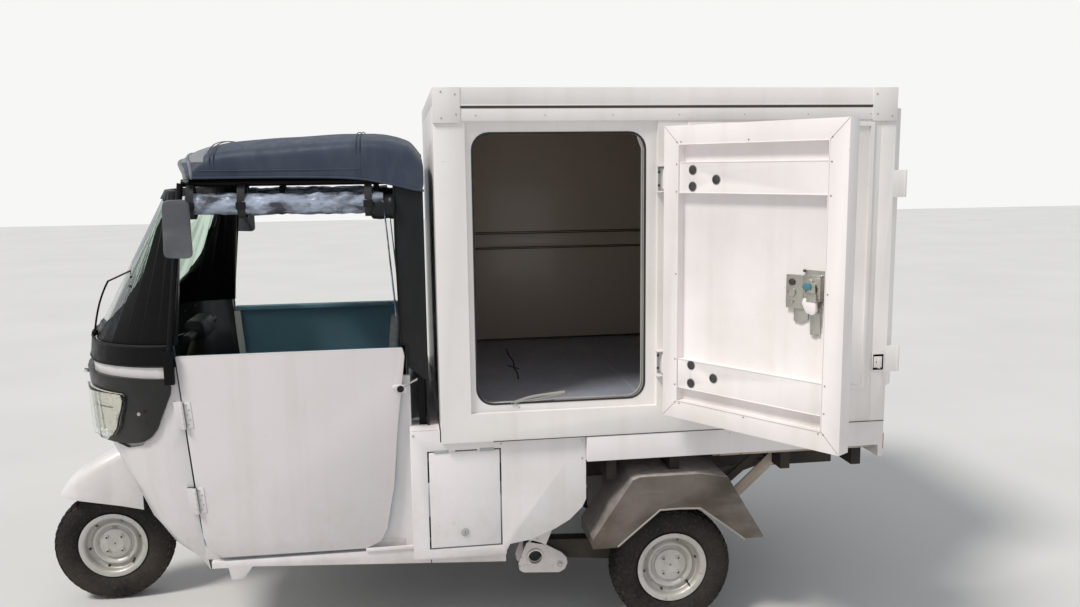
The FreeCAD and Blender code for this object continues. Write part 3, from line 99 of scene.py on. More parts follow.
class NodeBoard:
    """A material's node tree, laid with short calls."""

    def __init__(self, name: str) -> None:
        """Starts a material with one principled shader.

        Args:
            name: The material's name.
        """
        self.material = bpy.data.materials.new(name)
        self.material.use_nodes = True
        self.tree = self.material.node_tree
        self.shader = self.tree.nodes["Principled BSDF"]
        self.place = self.tree.nodes.new("ShaderNodeTexCoord").outputs["Object"]

    def node(self, kind: str, inputs: dict[str | int, object], **settings: object) -> bpy.types.Node:
        """Adds a node.

        Args:
            kind: The node's type without its prefix.
            inputs: Value or socket for each input, by name or number.
            settings: Plain settings of the node.

        Returns:
            The new node.
        """
        made = self.tree.nodes.new("ShaderNode" + kind)
        for key, value in settings.items():
            setattr(made, key, value)
        for key, value in inputs.items():
            if isinstance(value, bpy.types.NodeSocket):
                self.tree.links.new(value, made.inputs[key])
            else:
                made.inputs[key].default_value = value
        return made

    def noise(self, scale: float, detail: float = 3.0,
              stretch: Point = (1, 1, 1)) -> bpy.types.NodeSocket:
        """A noise over object coordinates.

        Args:
            scale: How many waves a metre holds.
            detail: The noise's detail.
            stretch: Factor on each axis before the noise.

        Returns:
            The noise's strength.
        """
        mapped = self.node("Mapping", {"Vector": self.place, "Scale": stretch})
        made = self.node("TexNoise", {"Vector": mapped.outputs[0], "Scale": scale, "Detail": detail})
        return made.outputs["Fac"]

    def span(self, value: object, low: float, high: float, start: float = 0.0,
             end: float = 1.0) -> object:
        """Maps low..high to start..end with clamping.

        Args:
            value: The socket to map.
            low: Where the result is start.
            high: Where the result is end.
            start: The first result.
            end: The last result.

        Returns:
            The mapped socket.
        """
        made = self.node("MapRange", {0: value, 1: low, 2: high, 3: start, 4: end})
        return made.outputs[0]

    def math(self, kind: str, a: object, b: object) -> object:
        """One sum of two values.

        Args:
            kind: The operation.
            a: First value.
            b: Second value.

        Returns:
            The result's socket.
        """
        return self.node("Math", {0: a, 1: b}, operation=kind).outputs[0]

    def mix(self, share: object, a: object, b: object) -> object:
        """Mixes two colours.

        Args:
            share: How much of the second.
            a: First colour or socket.
            b: Second colour or socket.

        Returns:
            The mixed colour's socket.
        """
        inputs: dict[str | int, object] = {0: share}
        for key, value in ((6, a), (7, b)):
            inputs[key] = value if isinstance(value, bpy.types.NodeSocket) else (*value, 1.0)
        return self.node("Mix", inputs, data_type="RGBA").outputs[2]

    def axis(self, letter: str) -> object:
        """The object coordinate along one axis."""
        return self.node("SeparateXYZ", {0: self.place}).outputs[letter]

    def inside(self, low: Point, high: Point) -> object:
        """A mask that is 1 inside a box.

        Args:
            low: The box's lowest corner in metres.
            high: Its highest corner.

        Returns:
            The mask's socket.
        """
        split = self.node("SeparateXYZ", {0: self.place})
        mask: object = None
        for index in range(3):
            above = self.math("GREATER_THAN", split.outputs[index], low[index])
            below = self.math("LESS_THAN", split.outputs[index], high[index])
            both = self.math("MULTIPLY", above, below)
            mask = both if mask is None else self.math("MULTIPLY", mask, both)
        return mask

    def relief(self, height: object, depth: float, strength: float) -> None:
        """Adds a bump to the shader.

        Args:
            height: The height's socket.
            depth: The bump's depth in metres.
            strength: Its strength.
        """
        bump = self.node("Bump", {"Height": height, "Strength": strength, "Distance": depth})
        self.tree.links.new(bump.outputs[0], self.shader.inputs["Normal"])

    def put(self, name: str, value: object) -> None:
        """Gives a shader input a socket or a plain value."""
        if isinstance(value, bpy.types.NodeSocket):
            self.tree.links.new(value, self.shader.inputs[name])
        elif isinstance(value, tuple) and len(value) == 3 and name.endswith("Color"):
            self.shader.inputs[name].default_value = (*value, 1.0)
        else:
            self.shader.inputs[name].default_value = value


@dataclass(frozen=True)
class Lining:
    """A second colour, inside a box of the object or on the faces that are marked as inner."""

    colour: Colour
    low: Point | None = None
    high: Point | None = None

    def mask(self, board: NodeBoard) -> object:
        """Where the second colour lies.

        Args:
            board: The material's nodes.

        Returns:
            The mask's socket.
        """
        if self.low is None:
            return board.node("Attribute", {}, attribute_name="inner").outputs["Fac"]
        return board.inside(self.low, self.high)


@dataclass(frozen=True)
class Finish:
    """A surface finish: its colour, what has settled on it and how it shines."""

    name: str
    slot: str
    look: Look
    colour: Colour
    patch: Colour
    rough: tuple[float, float] = (0.3, 0.45)
    bump: tuple[float, float, float] = (40.0, 0.0006, 0.15)
    patch_share: float = 0.35
    patch_scale: float = 4.0
    metallic: float = 0.0
    coat: float = 0.0
    dust: Colour = (0.34, 0.28, 0.21)
    dust_top: float = 0.6
    dust_share: float = 0.5
    lining: Lining | None = None
    shine: float = 0.5
    # crown: how much of the patch colour lies on upward faces, a painted highlight of the sky, on some
    # finishes with wear
    crown: float = 0.0

    def build(self) -> bpy.types.Material:
        """Lays the material's nodes.

        Returns:
            The material.
        """
        board = NodeBoard(self.name)
        cloud = board.noise(self.patch_scale, 5)
        fine = board.noise(self.patch_scale * 9, 4)
        base = board.mix(board.span(cloud, 0.45, 0.75, 0, self.patch_share), self.colour, self.patch)
        if self.lining:
            base = board.mix(self.lining.mask(board), base, self.lining.colour)
        # Upward faces take the patch colour: a painted highlight of the sky, partly wear.
        if self.crown:
            normal = board.node("NewGeometry", {}).outputs["Normal"]
            up = board.node("SeparateXYZ", {0: normal}).outputs["Z"]
            top_sheen_and_wear = board.math("MULTIPLY", board.span(up, 0.25, 0.95), board.span(fine, 0.3, 0.6, 0.5, 1))
            base = board.mix(board.math("MULTIPLY", top_sheen_and_wear, self.crown), base, self.patch)
        rise = board.span(board.axis("Z"), 0.0, self.dust_top, 1, 0)
        blotch = board.span(board.math("ADD", cloud, board.math("MULTIPLY", fine, 0.5)), 0.55, 1.0)
        settled = board.math("MULTIPLY", board.math("MULTIPLY", rise, blotch), self.dust_share)
        base = board.mix(settled, base, self.dust)
        rough = board.span(fine, 0.3, 0.7, *self.rough)
        board.put("Roughness", board.math("ADD", rough, board.math("MULTIPLY", settled, 0.4)))
        board.put("Metallic", self.metallic)
        board.put("Specular IOR Level", self.shine)
        if self.coat:
            board.put("Coat Weight", self.coat)
            board.put("Coat Roughness", 0.12)
        getattr(self, self.look.value)(board, base)
        return board.material

    def paint(self, board: NodeBoard, base: object) -> None:
        """Enamel: faint rain streaks, chips and orange peel."""
        streak = board.span(board.noise(1.0, 5, (16, 16, 0.8)), 0.5, 0.8, 0, 0.13)
        base = board.mix(streak, base, self.dust)
        chips = board.span(board.noise(55, 2), 0.73, 0.76, 0, 0.55)
        board.put("Base Color", board.mix(chips, base, self.patch))
        board.relief(board.noise(self.bump[0], 2), *self.bump[1:])

    def clean(self, board: NodeBoard, base: object) -> None:
        """Even satin paint without streaks."""
        board.put("Base Color", base)
        board.relief(board.noise(self.bump[0], 2), *self.bump[1:])

    def plastic(self, board: NodeBoard, base: object) -> None:
        """Moulded plastic: a fine grain with paler scuffs."""
        scuff = board.span(board.noise(3.0, 6, (8, 1.5, 8)), 0.55, 0.85, 0, 0.25)
        board.put("Base Color", board.mix(scuff, base, self.patch))
        board.relief(board.noise(self.bump[0], 3), *self.bump[1:])

    def metal(self, board: NodeBoard, base: object) -> None:
        """Bare or plated metal: rust freckles and a fine grain."""
        rust = board.span(board.noise(28, 6), 0.62, 0.74, 0, 0.6)
        board.put("Base Color", board.mix(rust, base, self.patch))
        board.relief(board.noise(self.bump[0], 4), *self.bump[1:])

    def cloth(self, board: NodeBoard, base: object) -> None:
        """Coated cloth: a crossing weave and soft creases; the patch colour on the raised creases is a
        painted highlight.
        """
        threads = {"Vector": board.place, "Scale": 190.0, "Distortion": 0.6}
        warp, weft = (board.node("TexWave", threads, bands_direction=way).outputs["Fac"] for way in "XY")
        weave = board.math("ADD", warp, weft)
        crease = board.noise(9, 4, (1, 2.4, 1))
        # The patch colour on the crease ridges is a painted highlight.
        board.put("Base Color", board.mix(board.span(crease, 0.45, 0.7, 0, 0.35), base, self.patch))
        board.put("Sheen Weight", 0.03)
        height = board.math("ADD", board.math("MULTIPLY", weave, 0.06), crease)
        board.relief(height, *self.bump[1:])

    def leather(self, board: NodeBoard, base: object) -> None:
        """Coated seat cover: a pebbled grain."""
        cells = board.node("TexVoronoi", {"Vector": board.place, "Scale": 420.0})
        board.put("Base Color", base)
        board.relief(cells.outputs["Distance"], *self.bump[1:])

    def rubber(self, board: NodeBoard, base: object) -> None:
        """Tyre rubber: dust in the grooves and a scuffed side wall."""
        speck = board.span(board.noise(90, 3), 0.5, 0.75, 0, 0.2)
        board.put("Base Color", board.mix(speck, base, self.dust))
        board.relief(board.noise(self.bump[0], 4), *self.bump[1:])

    def glass(self, board: NodeBoard, base: object) -> None:
        """Clear glass with a dusty film."""
        board.put("Base Color", self.colour)
        board.put("Transmission Weight", 1.0)
        board.put("IOR", 1.45)
        board.put("Roughness", board.span(board.noise(6, 5), 0.4, 0.8, *self.rough))

    def film(self, board: NodeBoard, base: object) -> None:
        """Clear plastic sheet, crumpled and cloudy, with painted shade in its folds."""
        crumple = board.noise(16, 5, (2, 0.8, 2))
        # The dark patch colour along the crumple is painted shade in the folds.
        board.put("Base Color", board.mix(board.span(crumple, 0.4, 0.62), base, self.patch))
        board.put("Transmission Weight", 0.35)
        board.put("IOR", 1.4)
        board.relief(crumple, *self.bump[1:])


WHITE = (0.80, 0.765, 0.77)
# The cab's greyer white is painted shade: the cab's white paint darkened as if in dappled shade of trees.
CAB_WHITE_SHADED = (0.70, 0.665, 0.67)
CHALK = (0.62, 0.59, 0.55)
RUST = (0.20, 0.085, 0.04)
# Near-black on the cowl's inner faces is painted shade of the cab's inside.
CAB_INNER_SHADE = Lining((0.012, 0.012, 0.013))
DOOR_INNER = Lining((0.20, 0.38, 0.50), (-0.6315, 0.3, 0.3), (0.6315, 1.3, 1.3))
# Pale grey over the visor's front is a painted highlight on its folded cloth.
VISOR_HIGHLIGHT = Lining((0.24, 0.25, 0.27), (-0.7, 0.3, 1.836), (0.7, 0.575, 2.0))
# The darker warm grey inside the load space is painted shade of the box's inside.
LOAD_INNER_SHADE = Lining((0.52, 0.44, 0.37), (-0.6655, 1.4275, 0.9), (0.6655, 3.036, 2.0225))


class Finishes:
    """Every finish of the vehicle, each built once."""

    def __init__(self) -> None:
        """Builds the materials."""
        enamel = Finish("body_enamel", "body_white", Look.PAINT, WHITE, CHALK, (0.28, 0.4),
                        (14, 0.0015, 0.12), coat=0.4, dust_top=0.75)
        plain = [
            enamel,
            replace(enamel, name="cab_enamel", colour=CAB_WHITE_SHADED, lining=CAB_INNER_SHADE),
            replace(enamel, name="door_enamel", colour=CAB_WHITE_SHADED, bump=(9, 0.002, 0.12),
                    lining=DOOR_INNER),
            Finish("box_skin", "box_white", Look.PAINT, (0.83, 0.795, 0.78), (0.66, 0.63, 0.6),
                   (0.3, 0.45), (5, 0.004, 0.12), coat=0.3, lining=LOAD_INNER_SHADE),
            Finish("load_floor", "aluminium_trim", Look.METAL, (0.34, 0.36, 0.43), (0.6, 0.58, 0.58),
                   (0.4, 0.6), (30, 0.001, 0.2), metallic=0.2, dust_share=0.0),
            Finish("door_panel", "door_inner", Look.PAINT, (0.88, 0.835, 0.83), (0.62, 0.58, 0.54),
                   (0.35, 0.5), (11, 0.001, 0.15), patch_share=0.3, dust_top=1.3, dust_share=0.25),
            Finish("satin_black", "screen_black", Look.CLEAN, (0.003, 0.0028, 0.0035),
                   (0.009, 0.008, 0.008), (0.3, 0.5), dust_top=1.8, dust_share=0.01, shine=0.15),
            # Its bluish patch colour, laid on the upward faces by crown, is a painted sheen of the sky.
            Finish("lamp_moulding", "black_plastic", Look.PLASTIC, (0.010, 0.0095, 0.010),
                   (0.03, 0.03, 0.035), (0.25, 0.4), (260, 0.0003, 0.15), dust_top=1.3, dust_share=0.06,
                   shine=0.4, crown=0.3),
            Finish("lamp_bowl", "bright_steel", Look.METAL, (0.86, 0.82, 0.72), (0.7, 0.66, 0.55),
                   (0.12, 0.3), (60, 0.001, 0.2), patch_share=0.4, metallic=0.55, dust_share=0.05),
            # The pale patch colour, laid on the upward faces by crown, is partly a painted highlight and
            # partly scuffs.
            Finish("fender_moulding", "black_plastic", Look.PLASTIC, (0.075, 0.06, 0.049),
                   (0.44, 0.40, 0.385), (0.4, 0.6), (180, 0.0006, 0.3), patch_share=0.25, dust_top=0.7,
                   dust_share=0.4, shine=0.3, crown=0.95),
            # The lip's pale grey is partly a painted highlight on the rounded edge and partly scuffs.
            Finish("fender_lip", "black_plastic", Look.PLASTIC, (0.34, 0.31, 0.28), (0.2, 0.18, 0.16),
                   (0.5, 0.7), (180, 0.0006, 0.3), dust_share=0.3),
            Finish("cab_moulding", "black_plastic", Look.PLASTIC, (0.008, 0.008, 0.009),
                   (0.025, 0.025, 0.025), (0.4, 0.6), (240, 0.0005, 0.3), dust_share=0.05, shine=0.25),
            Finish("under_black", "chassis_black", Look.METAL, (0.018, 0.016, 0.015),
                   (0.07, 0.035, 0.02), (0.5, 0.75), (60, 0.001, 0.4), dust_top=0.8, dust_share=0.3,
                   shine=0.3),
            Finish("bracket_pale", "frame_pale", Look.METAL, (0.82, 0.76, 0.75), RUST, (0.45, 0.7),
                   (60, 0.001, 0.3), patch_share=0.15, dust_top=0.7, dust_share=0.25),
            Finish("beam_rusty", "frame_pale", Look.METAL, (0.5, 0.45, 0.38), RUST, (0.55, 0.8),
                   (80, 0.0015, 0.4), patch_share=0.8, dust_share=0.4),
            Finish("lens_clear", "clear_lens", Look.GLASS, (0.93, 0.95, 0.94), WHITE, (0.0, 0.06)),
            Finish("screen_pane", "screen_glass", Look.GLASS, (0.62, 0.76, 0.66), WHITE, (0.0, 0.05)),
            Finish("canopy_sheet", "canopy_cloth", Look.CLOTH, (0.036, 0.050, 0.080),
                   (0.075, 0.095, 0.13), (0.35, 0.55), (40, 0.005, 0.5), dust_top=2.4, dust_share=0.03,
                   lining=VISOR_HIGHLIGHT, shine=0.3),
            # The visor folds' pale patches are painted highlights on the folded cloth.
            Finish("visor_sheet", "canopy_cloth", Look.CLOTH, (0.10, 0.105, 0.11), (0.33, 0.34, 0.35),
                   (0.35, 0.55), (40, 0.006, 0.6), patch_share=0.8, patch_scale=9, dust_share=0.0,
                   shine=0.3),
            Finish("cab_sheet", "canopy_cloth", Look.CLOTH, (0.006, 0.0065, 0.008),
                   (0.015, 0.017, 0.02), (0.3, 0.5), (40, 0.003, 0.35), dust_top=2.0, dust_share=0.02,
                   shine=0.3),
            # The film's bluish colour is a painted sky highlight, and its dark patch colour is painted
            # shade in the folds.
            Finish("curtain_film", "curtain_cloth", Look.FILM, (0.62, 0.70, 0.86), (0.09, 0.095, 0.12),
                   (0.1, 0.25), (40, 0.014, 1.0), dust_share=0.0),
            Finish("strap_web", "curtain_cloth", Look.CLOTH, (0.012, 0.012, 0.014), (0.03, 0.03, 0.03),
                   (0.6, 0.8), (40, 0.001, 0.3), dust_share=0.0),
            Finish("seat_vinyl", "seat_cover", Look.LEATHER, (0.02, 0.02, 0.022), (0.05, 0.05, 0.05),
                   (0.35, 0.5), (300, 0.0008, 0.4), dust_share=0.1),
            Finish("rim_enamel", "rim_silver", Look.METAL, (0.60, 0.59, 0.57), (0.26, 0.2, 0.15),
                   (0.35, 0.55), (90, 0.0006, 0.3), metallic=0.55, dust_top=0.6, dust_share=0.55),
            Finish("tyre_black", "tyre_rubber", Look.RUBBER, (0.010, 0.0095, 0.0095),
                   (0.03, 0.027, 0.025), (0.65, 0.85), (140, 0.0008, 0.4), dust=(0.13, 0.10, 0.08),
                   dust_top=0.55, dust_share=0.45, shine=0.25),
            Finish("zinc", "bright_steel", Look.METAL, (0.55, 0.54, 0.5), (0.42, 0.3, 0.14),
                   (0.25, 0.45), (120, 0.0003, 0.2), metallic=0.9, dust_share=0.1),
            Finish("chrome", "bright_steel", Look.METAL, (0.8, 0.8, 0.8), (0.5, 0.45, 0.4),
                   (0.05, 0.12), (60, 0.0002, 0.1), patch_share=0.1, metallic=1.0, dust_share=0.05),
            Finish("dark_steel", "bright_steel", Look.METAL, (0.09, 0.075, 0.065), RUST, (0.4, 0.6),
                   (120, 0.0004, 0.3), metallic=0.7, dust_share=0.2),
            Finish("engine_cast", "engine_metal", Look.METAL, (0.16, 0.155, 0.15), RUST, (0.5, 0.7),
                   (120, 0.0015, 0.5), metallic=0.6, dust_top=0.8, dust_share=0.6),
            Finish("lamp_red_lens", "lamp_red", Look.PLASTIC, (0.42, 0.015, 0.012), (0.5, 0.05, 0.04),
                   (0.12, 0.2), (60, 0.001, 0.3), coat=0.8, dust_share=0.15),
            # The mirror shell's pale bluish patches are a painted sheen.
            Finish("mirror_shell", "mirror_black", Look.PLASTIC, (0.085, 0.09, 0.10),
                   (0.28, 0.30, 0.33), (0.25, 0.4), (200, 0.0003, 0.2), patch_share=0.5, dust_share=0.0),
            Finish("seal_rubber", "black_plastic", Look.PLASTIC, (0.015, 0.015, 0.015),
                   (0.05, 0.05, 0.05), (0.5, 0.7), (150, 0.0004, 0.2), dust_share=0.0),
            Finish("seal_grey", "black_plastic", Look.PLASTIC, (0.33, 0.32, 0.30), (0.5, 0.48, 0.45),
                   (0.45, 0.6), (90, 0.0006, 0.2), dust_share=0.0),
            Finish("door_screw", "bright_steel", Look.METAL, (0.38, 0.34, 0.28), RUST, (0.4, 0.6),
                   metallic=0.6, dust_share=0.0),
            Finish("bolt_dark", "black_plastic", Look.PLASTIC, (0.035, 0.033, 0.032),
                   (0.10, 0.09, 0.08), (0.45, 0.6), (300, 0.001, 0.4), patch_share=0.7, patch_scale=30,
                   dust_share=0.0),
            Finish("latch_tag", "bright_steel", Look.PLASTIC, (0.07, 0.24, 0.30), (0.05, 0.12, 0.15),
                   (0.35, 0.5), (200, 0.0004, 0.2), dust_share=0.0),
            Finish("hinge_grey", "bright_steel", Look.PAINT, (0.42, 0.43, 0.44), (0.3, 0.3, 0.3),
                   (0.35, 0.5), metallic=0.3, dust_share=0.0),
        ]
        self.finish = {f.name: f for f in plain}
        self.material = {f.name: f.build() for f in plain}

    def dress(self, piece: bpy.types.Object, name: str) -> None:
        """Gives a piece a finish.

        Args:
            piece: The mesh to dress.
            name: The finish.
        """
        piece.data.materials.clear()
        piece.data.materials.append(self.material[name])


class Bench:
    """The modelling moves that the sub-assemblies share."""

    def __init__(self, frame: dict, finishes: Finishes) -> None:
        """Keeps the frame and the finishes.

        Args:
            finishes: The built finishes.
        """
        self.nodes = frame["nodes"]
        self.finishes = finishes

    def clear(self) -> None:
        """Deselects everything."""
        bpy.ops.object.select_all(action="DESELECT")

    def pick(self, *pieces: bpy.types.Object) -> None:
        """Selects only these pieces, the first one active."""
        self.clear()
        for piece in pieces:
            piece.select_set(True)
        bpy.context.view_layer.objects.active = pieces[0]

    @contextmanager
    def editing(self, piece: bpy.types.Object, select: str = "SELECT") -> Iterator[None]:
        """Edit mode on one piece.

        Args:
            piece: The piece to edit.
            select: What happens to the selection first.

        Yields:
            Nothing; the piece is in edit mode meanwhile.
        """
        self.pick(piece)
        bpy.ops.object.mode_set(mode="EDIT")
        bpy.ops.mesh.select_all(action=select)
        try:
            yield
        finally:
            bpy.ops.object.mode_set(mode="OBJECT")

    def modify(self, piece: bpy.types.Object, kind: str, **settings: object) -> bpy.types.Object:
        """Adds a modifier and applies it.

        Args:
            piece: The piece.
            kind: The modifier's type.
            settings: Its settings.

        Returns:
            The piece.
        """
        self.pick(piece)
        modifier = piece.modifiers.new(kind.lower(), kind)
        for key, value in settings.items():
            setattr(modifier, key, value)
        bpy.ops.object.modifier_apply(modifier=modifier.name)
        return piece

    def bevel(self, piece: bpy.types.Object, width: float, segments: int = 2) -> bpy.types.Object:
        """Rounds the sharp edges.

        Args:
            piece: The piece.
            width: Width in millimetres.
            segments: How many steps.

        Returns:
            The piece.
        """
        return self.modify(piece, "BEVEL", width=width / 1000, segments=segments, limit_method="ANGLE",
                           angle_limit=math.radians(32))

    def trace(self, name: str, points: Sequence[Vector], closed: bool = True) -> bpy.types.Object:
        """Draws a wire by extruding one vertex from point to point.

        Args:
            name: The piece's name.
            points: The places in metres.
            closed: Whether the last point joins the first.

        Returns:
            The wire.
        """
        self.clear()
        bpy.ops.mesh.primitive_plane_add(size=0.002, location=points[0])
        piece = bpy.context.object
        piece.name = name
        with self.editing(piece):
            bpy.ops.mesh.merge(type="CENTER")
            for here, there in zip(points, points[1:]):
                bpy.ops.mesh.extrude_vertices_move(TRANSFORM_OT_translate={"value": there - here})
            if closed:
                bpy.ops.mesh.select_all(action="SELECT")
                bpy.ops.mesh.edge_face_add()
        return piece

    def slab(self, name: str, points: Sequence[Vector], push: Vector,
             bevel: float = 0) -> bpy.types.Object:
        """A solid from a closed outline pushed along a vector.

        Args:
            name: The piece's name.
            points: The outline in metres.
            push: The extrusion in metres.
            bevel: Edge rounding in millimetres.

        Returns:
            The solid.
        """
        piece = self.trace(name, points)
        self.push(piece, push)
        return self.bevel(piece, bevel) if bevel else piece

    def push(self, piece: bpy.types.Object, way: Vector) -> None:
        """Extrudes all of a piece and turns its faces outwards.

        Args:
            piece: The piece.
            way: The extrusion in metres.
        """
        with self.editing(piece):
            bpy.ops.mesh.extrude_region_move(TRANSFORM_OT_translate={"value": way})
            bpy.ops.mesh.select_all(action="SELECT")
            bpy.ops.mesh.normals_make_consistent(inside=False)

    def ring(self, name: str, points: Sequence[Vector]) -> bpy.types.Object:
        """A closed wire without a face.

        Args:
            name: The wire's name.
            points: The places in metres.

        Returns:
            The wire.
        """
        piece = self.trace(name, points)
        with self.editing(piece):
            bpy.ops.mesh.delete(type="ONLY_FACE")
        return piece

    def lathe(self, name: str, profile: Outline, centre: Vector, side: int,
              steps: int) -> bpy.types.Object:
        """Turns a closed profile about an axis along X.

        Args:
            name: The piece's name.
            profile: Place across and radius of each point, in millimetres.
            centre: The axis's place.
            side: Which way the places across run.
            steps: How many steps the turn has.

        Returns:
            The turned piece.
        """
        piece = self.ring(name, [centre + at(side * across, 0, radius) for across, radius in profile])
        with self.editing(piece):
            bpy.ops.mesh.spin(steps=steps, angle=math.tau, center=centre, axis=(1, 0, 0))
            bpy.ops.mesh.select_all(action="SELECT")
            bpy.ops.mesh.remove_doubles(threshold=0.00005)
            bpy.ops.mesh.normals_make_consistent(inside=False)
        return piece

    def brick(self, name: str, low: Point, high: Point, bevel: float = 1.0) -> bpy.types.Object:
        """A rounded block between two corners.

        Args:
            name: The piece's name.
            low: One corner in millimetres.
            high: The opposite corner.
            bevel: Edge rounding in millimetres.

        Returns:
            The block.
        """
        start, end = at(*map(min, low, high)), at(*map(max, low, high))
        self.clear()
        bpy.ops.mesh.primitive_cube_add(size=1, location=(start + end) / 2, scale=end - start)
        piece = bpy.context.object
        piece.name = name
        bpy.ops.object.transform_apply(location=True, rotation=True, scale=True)
        return self.bevel(piece, bevel) if bevel else piece

    def drum(self, name: str, centre: Vector, axis: Vector, radius: float, depth: float, sides: int = 24,
             bevel: float = 0.6) -> bpy.types.Object:
        """A short round piece.

        Args:
            name: The piece's name.
            centre: Its middle in metres.
            axis: The way its axis points.
            radius: Radius in millimetres.
            depth: Length in millimetres.
            sides: How many sides.
            bevel: Edge rounding in millimetres.

        Returns:
            The drum.
        """
        self.clear()
        turn = axis.to_track_quat("Z", "Y").to_euler()
        bpy.ops.mesh.primitive_cylinder_add(vertices=sides, radius=radius / 1000, depth=depth / 1000,
                                            location=centre, rotation=turn)
        piece = bpy.context.object
        piece.name = name
        bpy.ops.object.transform_apply(location=True, rotation=True, scale=True)
        return self.bevel(piece, bevel) if bevel else piece

    def tube(self, name: str, points: Sequence[Vector], radius: float, closed: bool = False,
             smooth: bool = True) -> bpy.types.Object:
        """A round tube along a line.

        Args:
            name: The piece's name.
            points: Places along the line in metres.
            radius: Radius in millimetres.
            closed: Whether it runs round.
            smooth: Whether the line is rounded between the points.

        Returns:
            The tube as a mesh.
        """
        curve = bpy.data.curves.new(name, "CURVE")
        curve.dimensions = "3D"
        curve.bevel_depth = radius / 1000
        curve.bevel_resolution = 3
        curve.use_fill_caps = True
        line = curve.splines.new("NURBS" if smooth else "POLY")
        line.points.add(len(points) - 1)
        for spot, place in zip(line.points, points):
            spot.co = (*place, 1)
        line.use_cyclic_u = closed
        if smooth:
            line.order_u = 3
            line.use_endpoint_u = not closed
        piece = bpy.data.objects.new(name, curve)
        bpy.context.scene.collection.objects.link(piece)
        self.pick(piece)
        bpy.ops.object.convert(target="MESH")
        return bpy.context.object

    def copies(self, piece: bpy.types.Object, places: Sequence[Matrix]) -> bpy.types.Object:
        """Copies a piece modelled at the origin to each place and joins the copies.

        Args:
            piece: The piece, which is used up.
            places: Where each copy goes.

        Returns:
            The joined piece.
        """
        made = []
        for place in places:
            copy = piece.copy()
            copy.data = piece.data.copy()
            copy.matrix_world = place
            bpy.context.scene.collection.objects.link(copy)
            made.append(copy)
        name = piece.name
        bpy.data.objects.remove(piece)
        joined = self.join(made)
        joined.name = name
        return joined

    def join(self, parts: Sequence[bpy.types.Object]) -> bpy.types.Object:
        """Joins pieces into the first one."""
        bpy.context.view_layer.update()
        self.pick(*parts)
        bpy.ops.object.join()
        bpy.ops.object.transform_apply(location=True, rotation=True, scale=True)
        return bpy.context.object

    def finish(self, piece: bpy.types.Object, finish: str, body: str = "root",
               replaces: Sequence[str] = (), angle: float = 35) -> bpy.types.Object:
        """Settles, dresses and hangs a piece on its body.

        Args:
            piece: The piece.
            finish: Its finish.
            body: The body that carries it.
            replaces: The nodes it stands for.
            angle: The largest angle that is smoothed, in degrees.

        Returns:
            The piece.
        """
        self.pick(piece)
        bpy.ops.object.transform_apply(location=True, rotation=True, scale=True)
        bpy.ops.object.shade_smooth_by_angle(angle=math.radians(angle))
        self.finishes.dress(piece, finish)
        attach(piece, body)
        if replaces:
            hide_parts(*replaces)
        log.info("%s: %d faces on %s", piece.name, len(piece.data.polygons), body)
        return piece

    def node_copy(self, node: str, name: str) -> bpy.types.Object:
        """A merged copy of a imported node, with its flat faces made whole.

        Args:
            node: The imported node.
            name: The copy's name.

        Returns:
            The copy.
        """
        source = self.nodes[node]
        piece = bpy.data.objects.new(name, source.data.copy())
        bpy.context.scene.collection.objects.link(piece)
        with self.editing(piece):
            bpy.ops.mesh.remove_doubles(threshold=0.00002)
            bpy.ops.mesh.dissolve_limited(angle_limit=math.radians(0.3))
        return piece

    def studs(self, name: str, places: Sequence[Vector], axis: Vector, radius: float, proud: float,
              sides: int, rounding: float) -> bpy.types.Object:
        """Rivet, screw or bolt heads, modelled once and copied.

        Args:
            name: The joined piece's name.
            places: Where each head sits, in metres.
            axis: The way the heads face.
            radius: Radius in millimetres.
            proud: How far they stand out, in millimetres.
            sides: How many sides a head has; 6 makes a hexagon bolt.
            rounding: The rounded part of how far they stand out.

        Returns:
            The joined heads.
        """
        head = self.drum(name, Vector(), Vector((0, 0, 1)), radius, proud * 2, sides, proud * rounding)
        turn = axis.to_track_quat("Z", "Y").to_matrix().to_4x4()
        return self.copies(head, [Matrix.Translation(p) @ turn for p in places])

    def heads(self, name: str, places: Sequence[Vector], axis: Vector, radius: float, proud: float,
              finish: str, body: str = "root", sides: int = 10) -> None:
        """Finished rivet, screw or bolt heads.

        Args:
            name: The joined piece's name.
            places: Where each head sits, in metres.
            axis: The way the heads face.
            radius: Radius in millimetres.
            proud: How far they stand out, in millimetres.
            finish: Their finish.
            body: The body that carries them.
            sides: How many sides a head has.
        """
        self.finish(self.studs(name, places, axis, radius, proud, sides, 0.7), finish, body)

    def block(self, name: str, low: Point, high: Point, bevel: float, finish: str,
              body: str = "root") -> None:
        """A finished block between two corners.

        Args:
            name: The block's name.
            low: One corner in millimetres.
            high: The opposite corner.
            bevel: Edge rounding in millimetres.
            finish: Its finish.
            body: The body that carries it.
        """
        self.finish(self.brick(name, low, high, bevel), finish, body)

    def side_blocks(self, side: int, name: str, table: BlockTable) -> None:
        """The finished blocks of a table, on one side of the vehicle.

        Args:
            side: 1 for the left side, -1 for the right.
            name: The side's name.
            table: Name, finish, edge rounding and two corners, x being how far out they are.
        """
        for kind, finish, bevel, (near, *low), (far, *high) in table:
            self.block(kind + name, (side * near, *low), (side * far, *high), bevel, finish)

    def plate(self, name: str, points: Sequence[Vector], push: Vector, bevel: float, finish: str,
              body: str = "root") -> None:
        """A finished plate.

        Args:
            name: The plate's name.
            points: Its outline in metres.
            push: The way and the distance that the outline is pushed, in metres.
            bevel: Edge rounding in millimetres.
            finish: Its finish.
            body: The body that carries it.
        """
        self.finish(self.slab(name, points, push, bevel), finish, body)

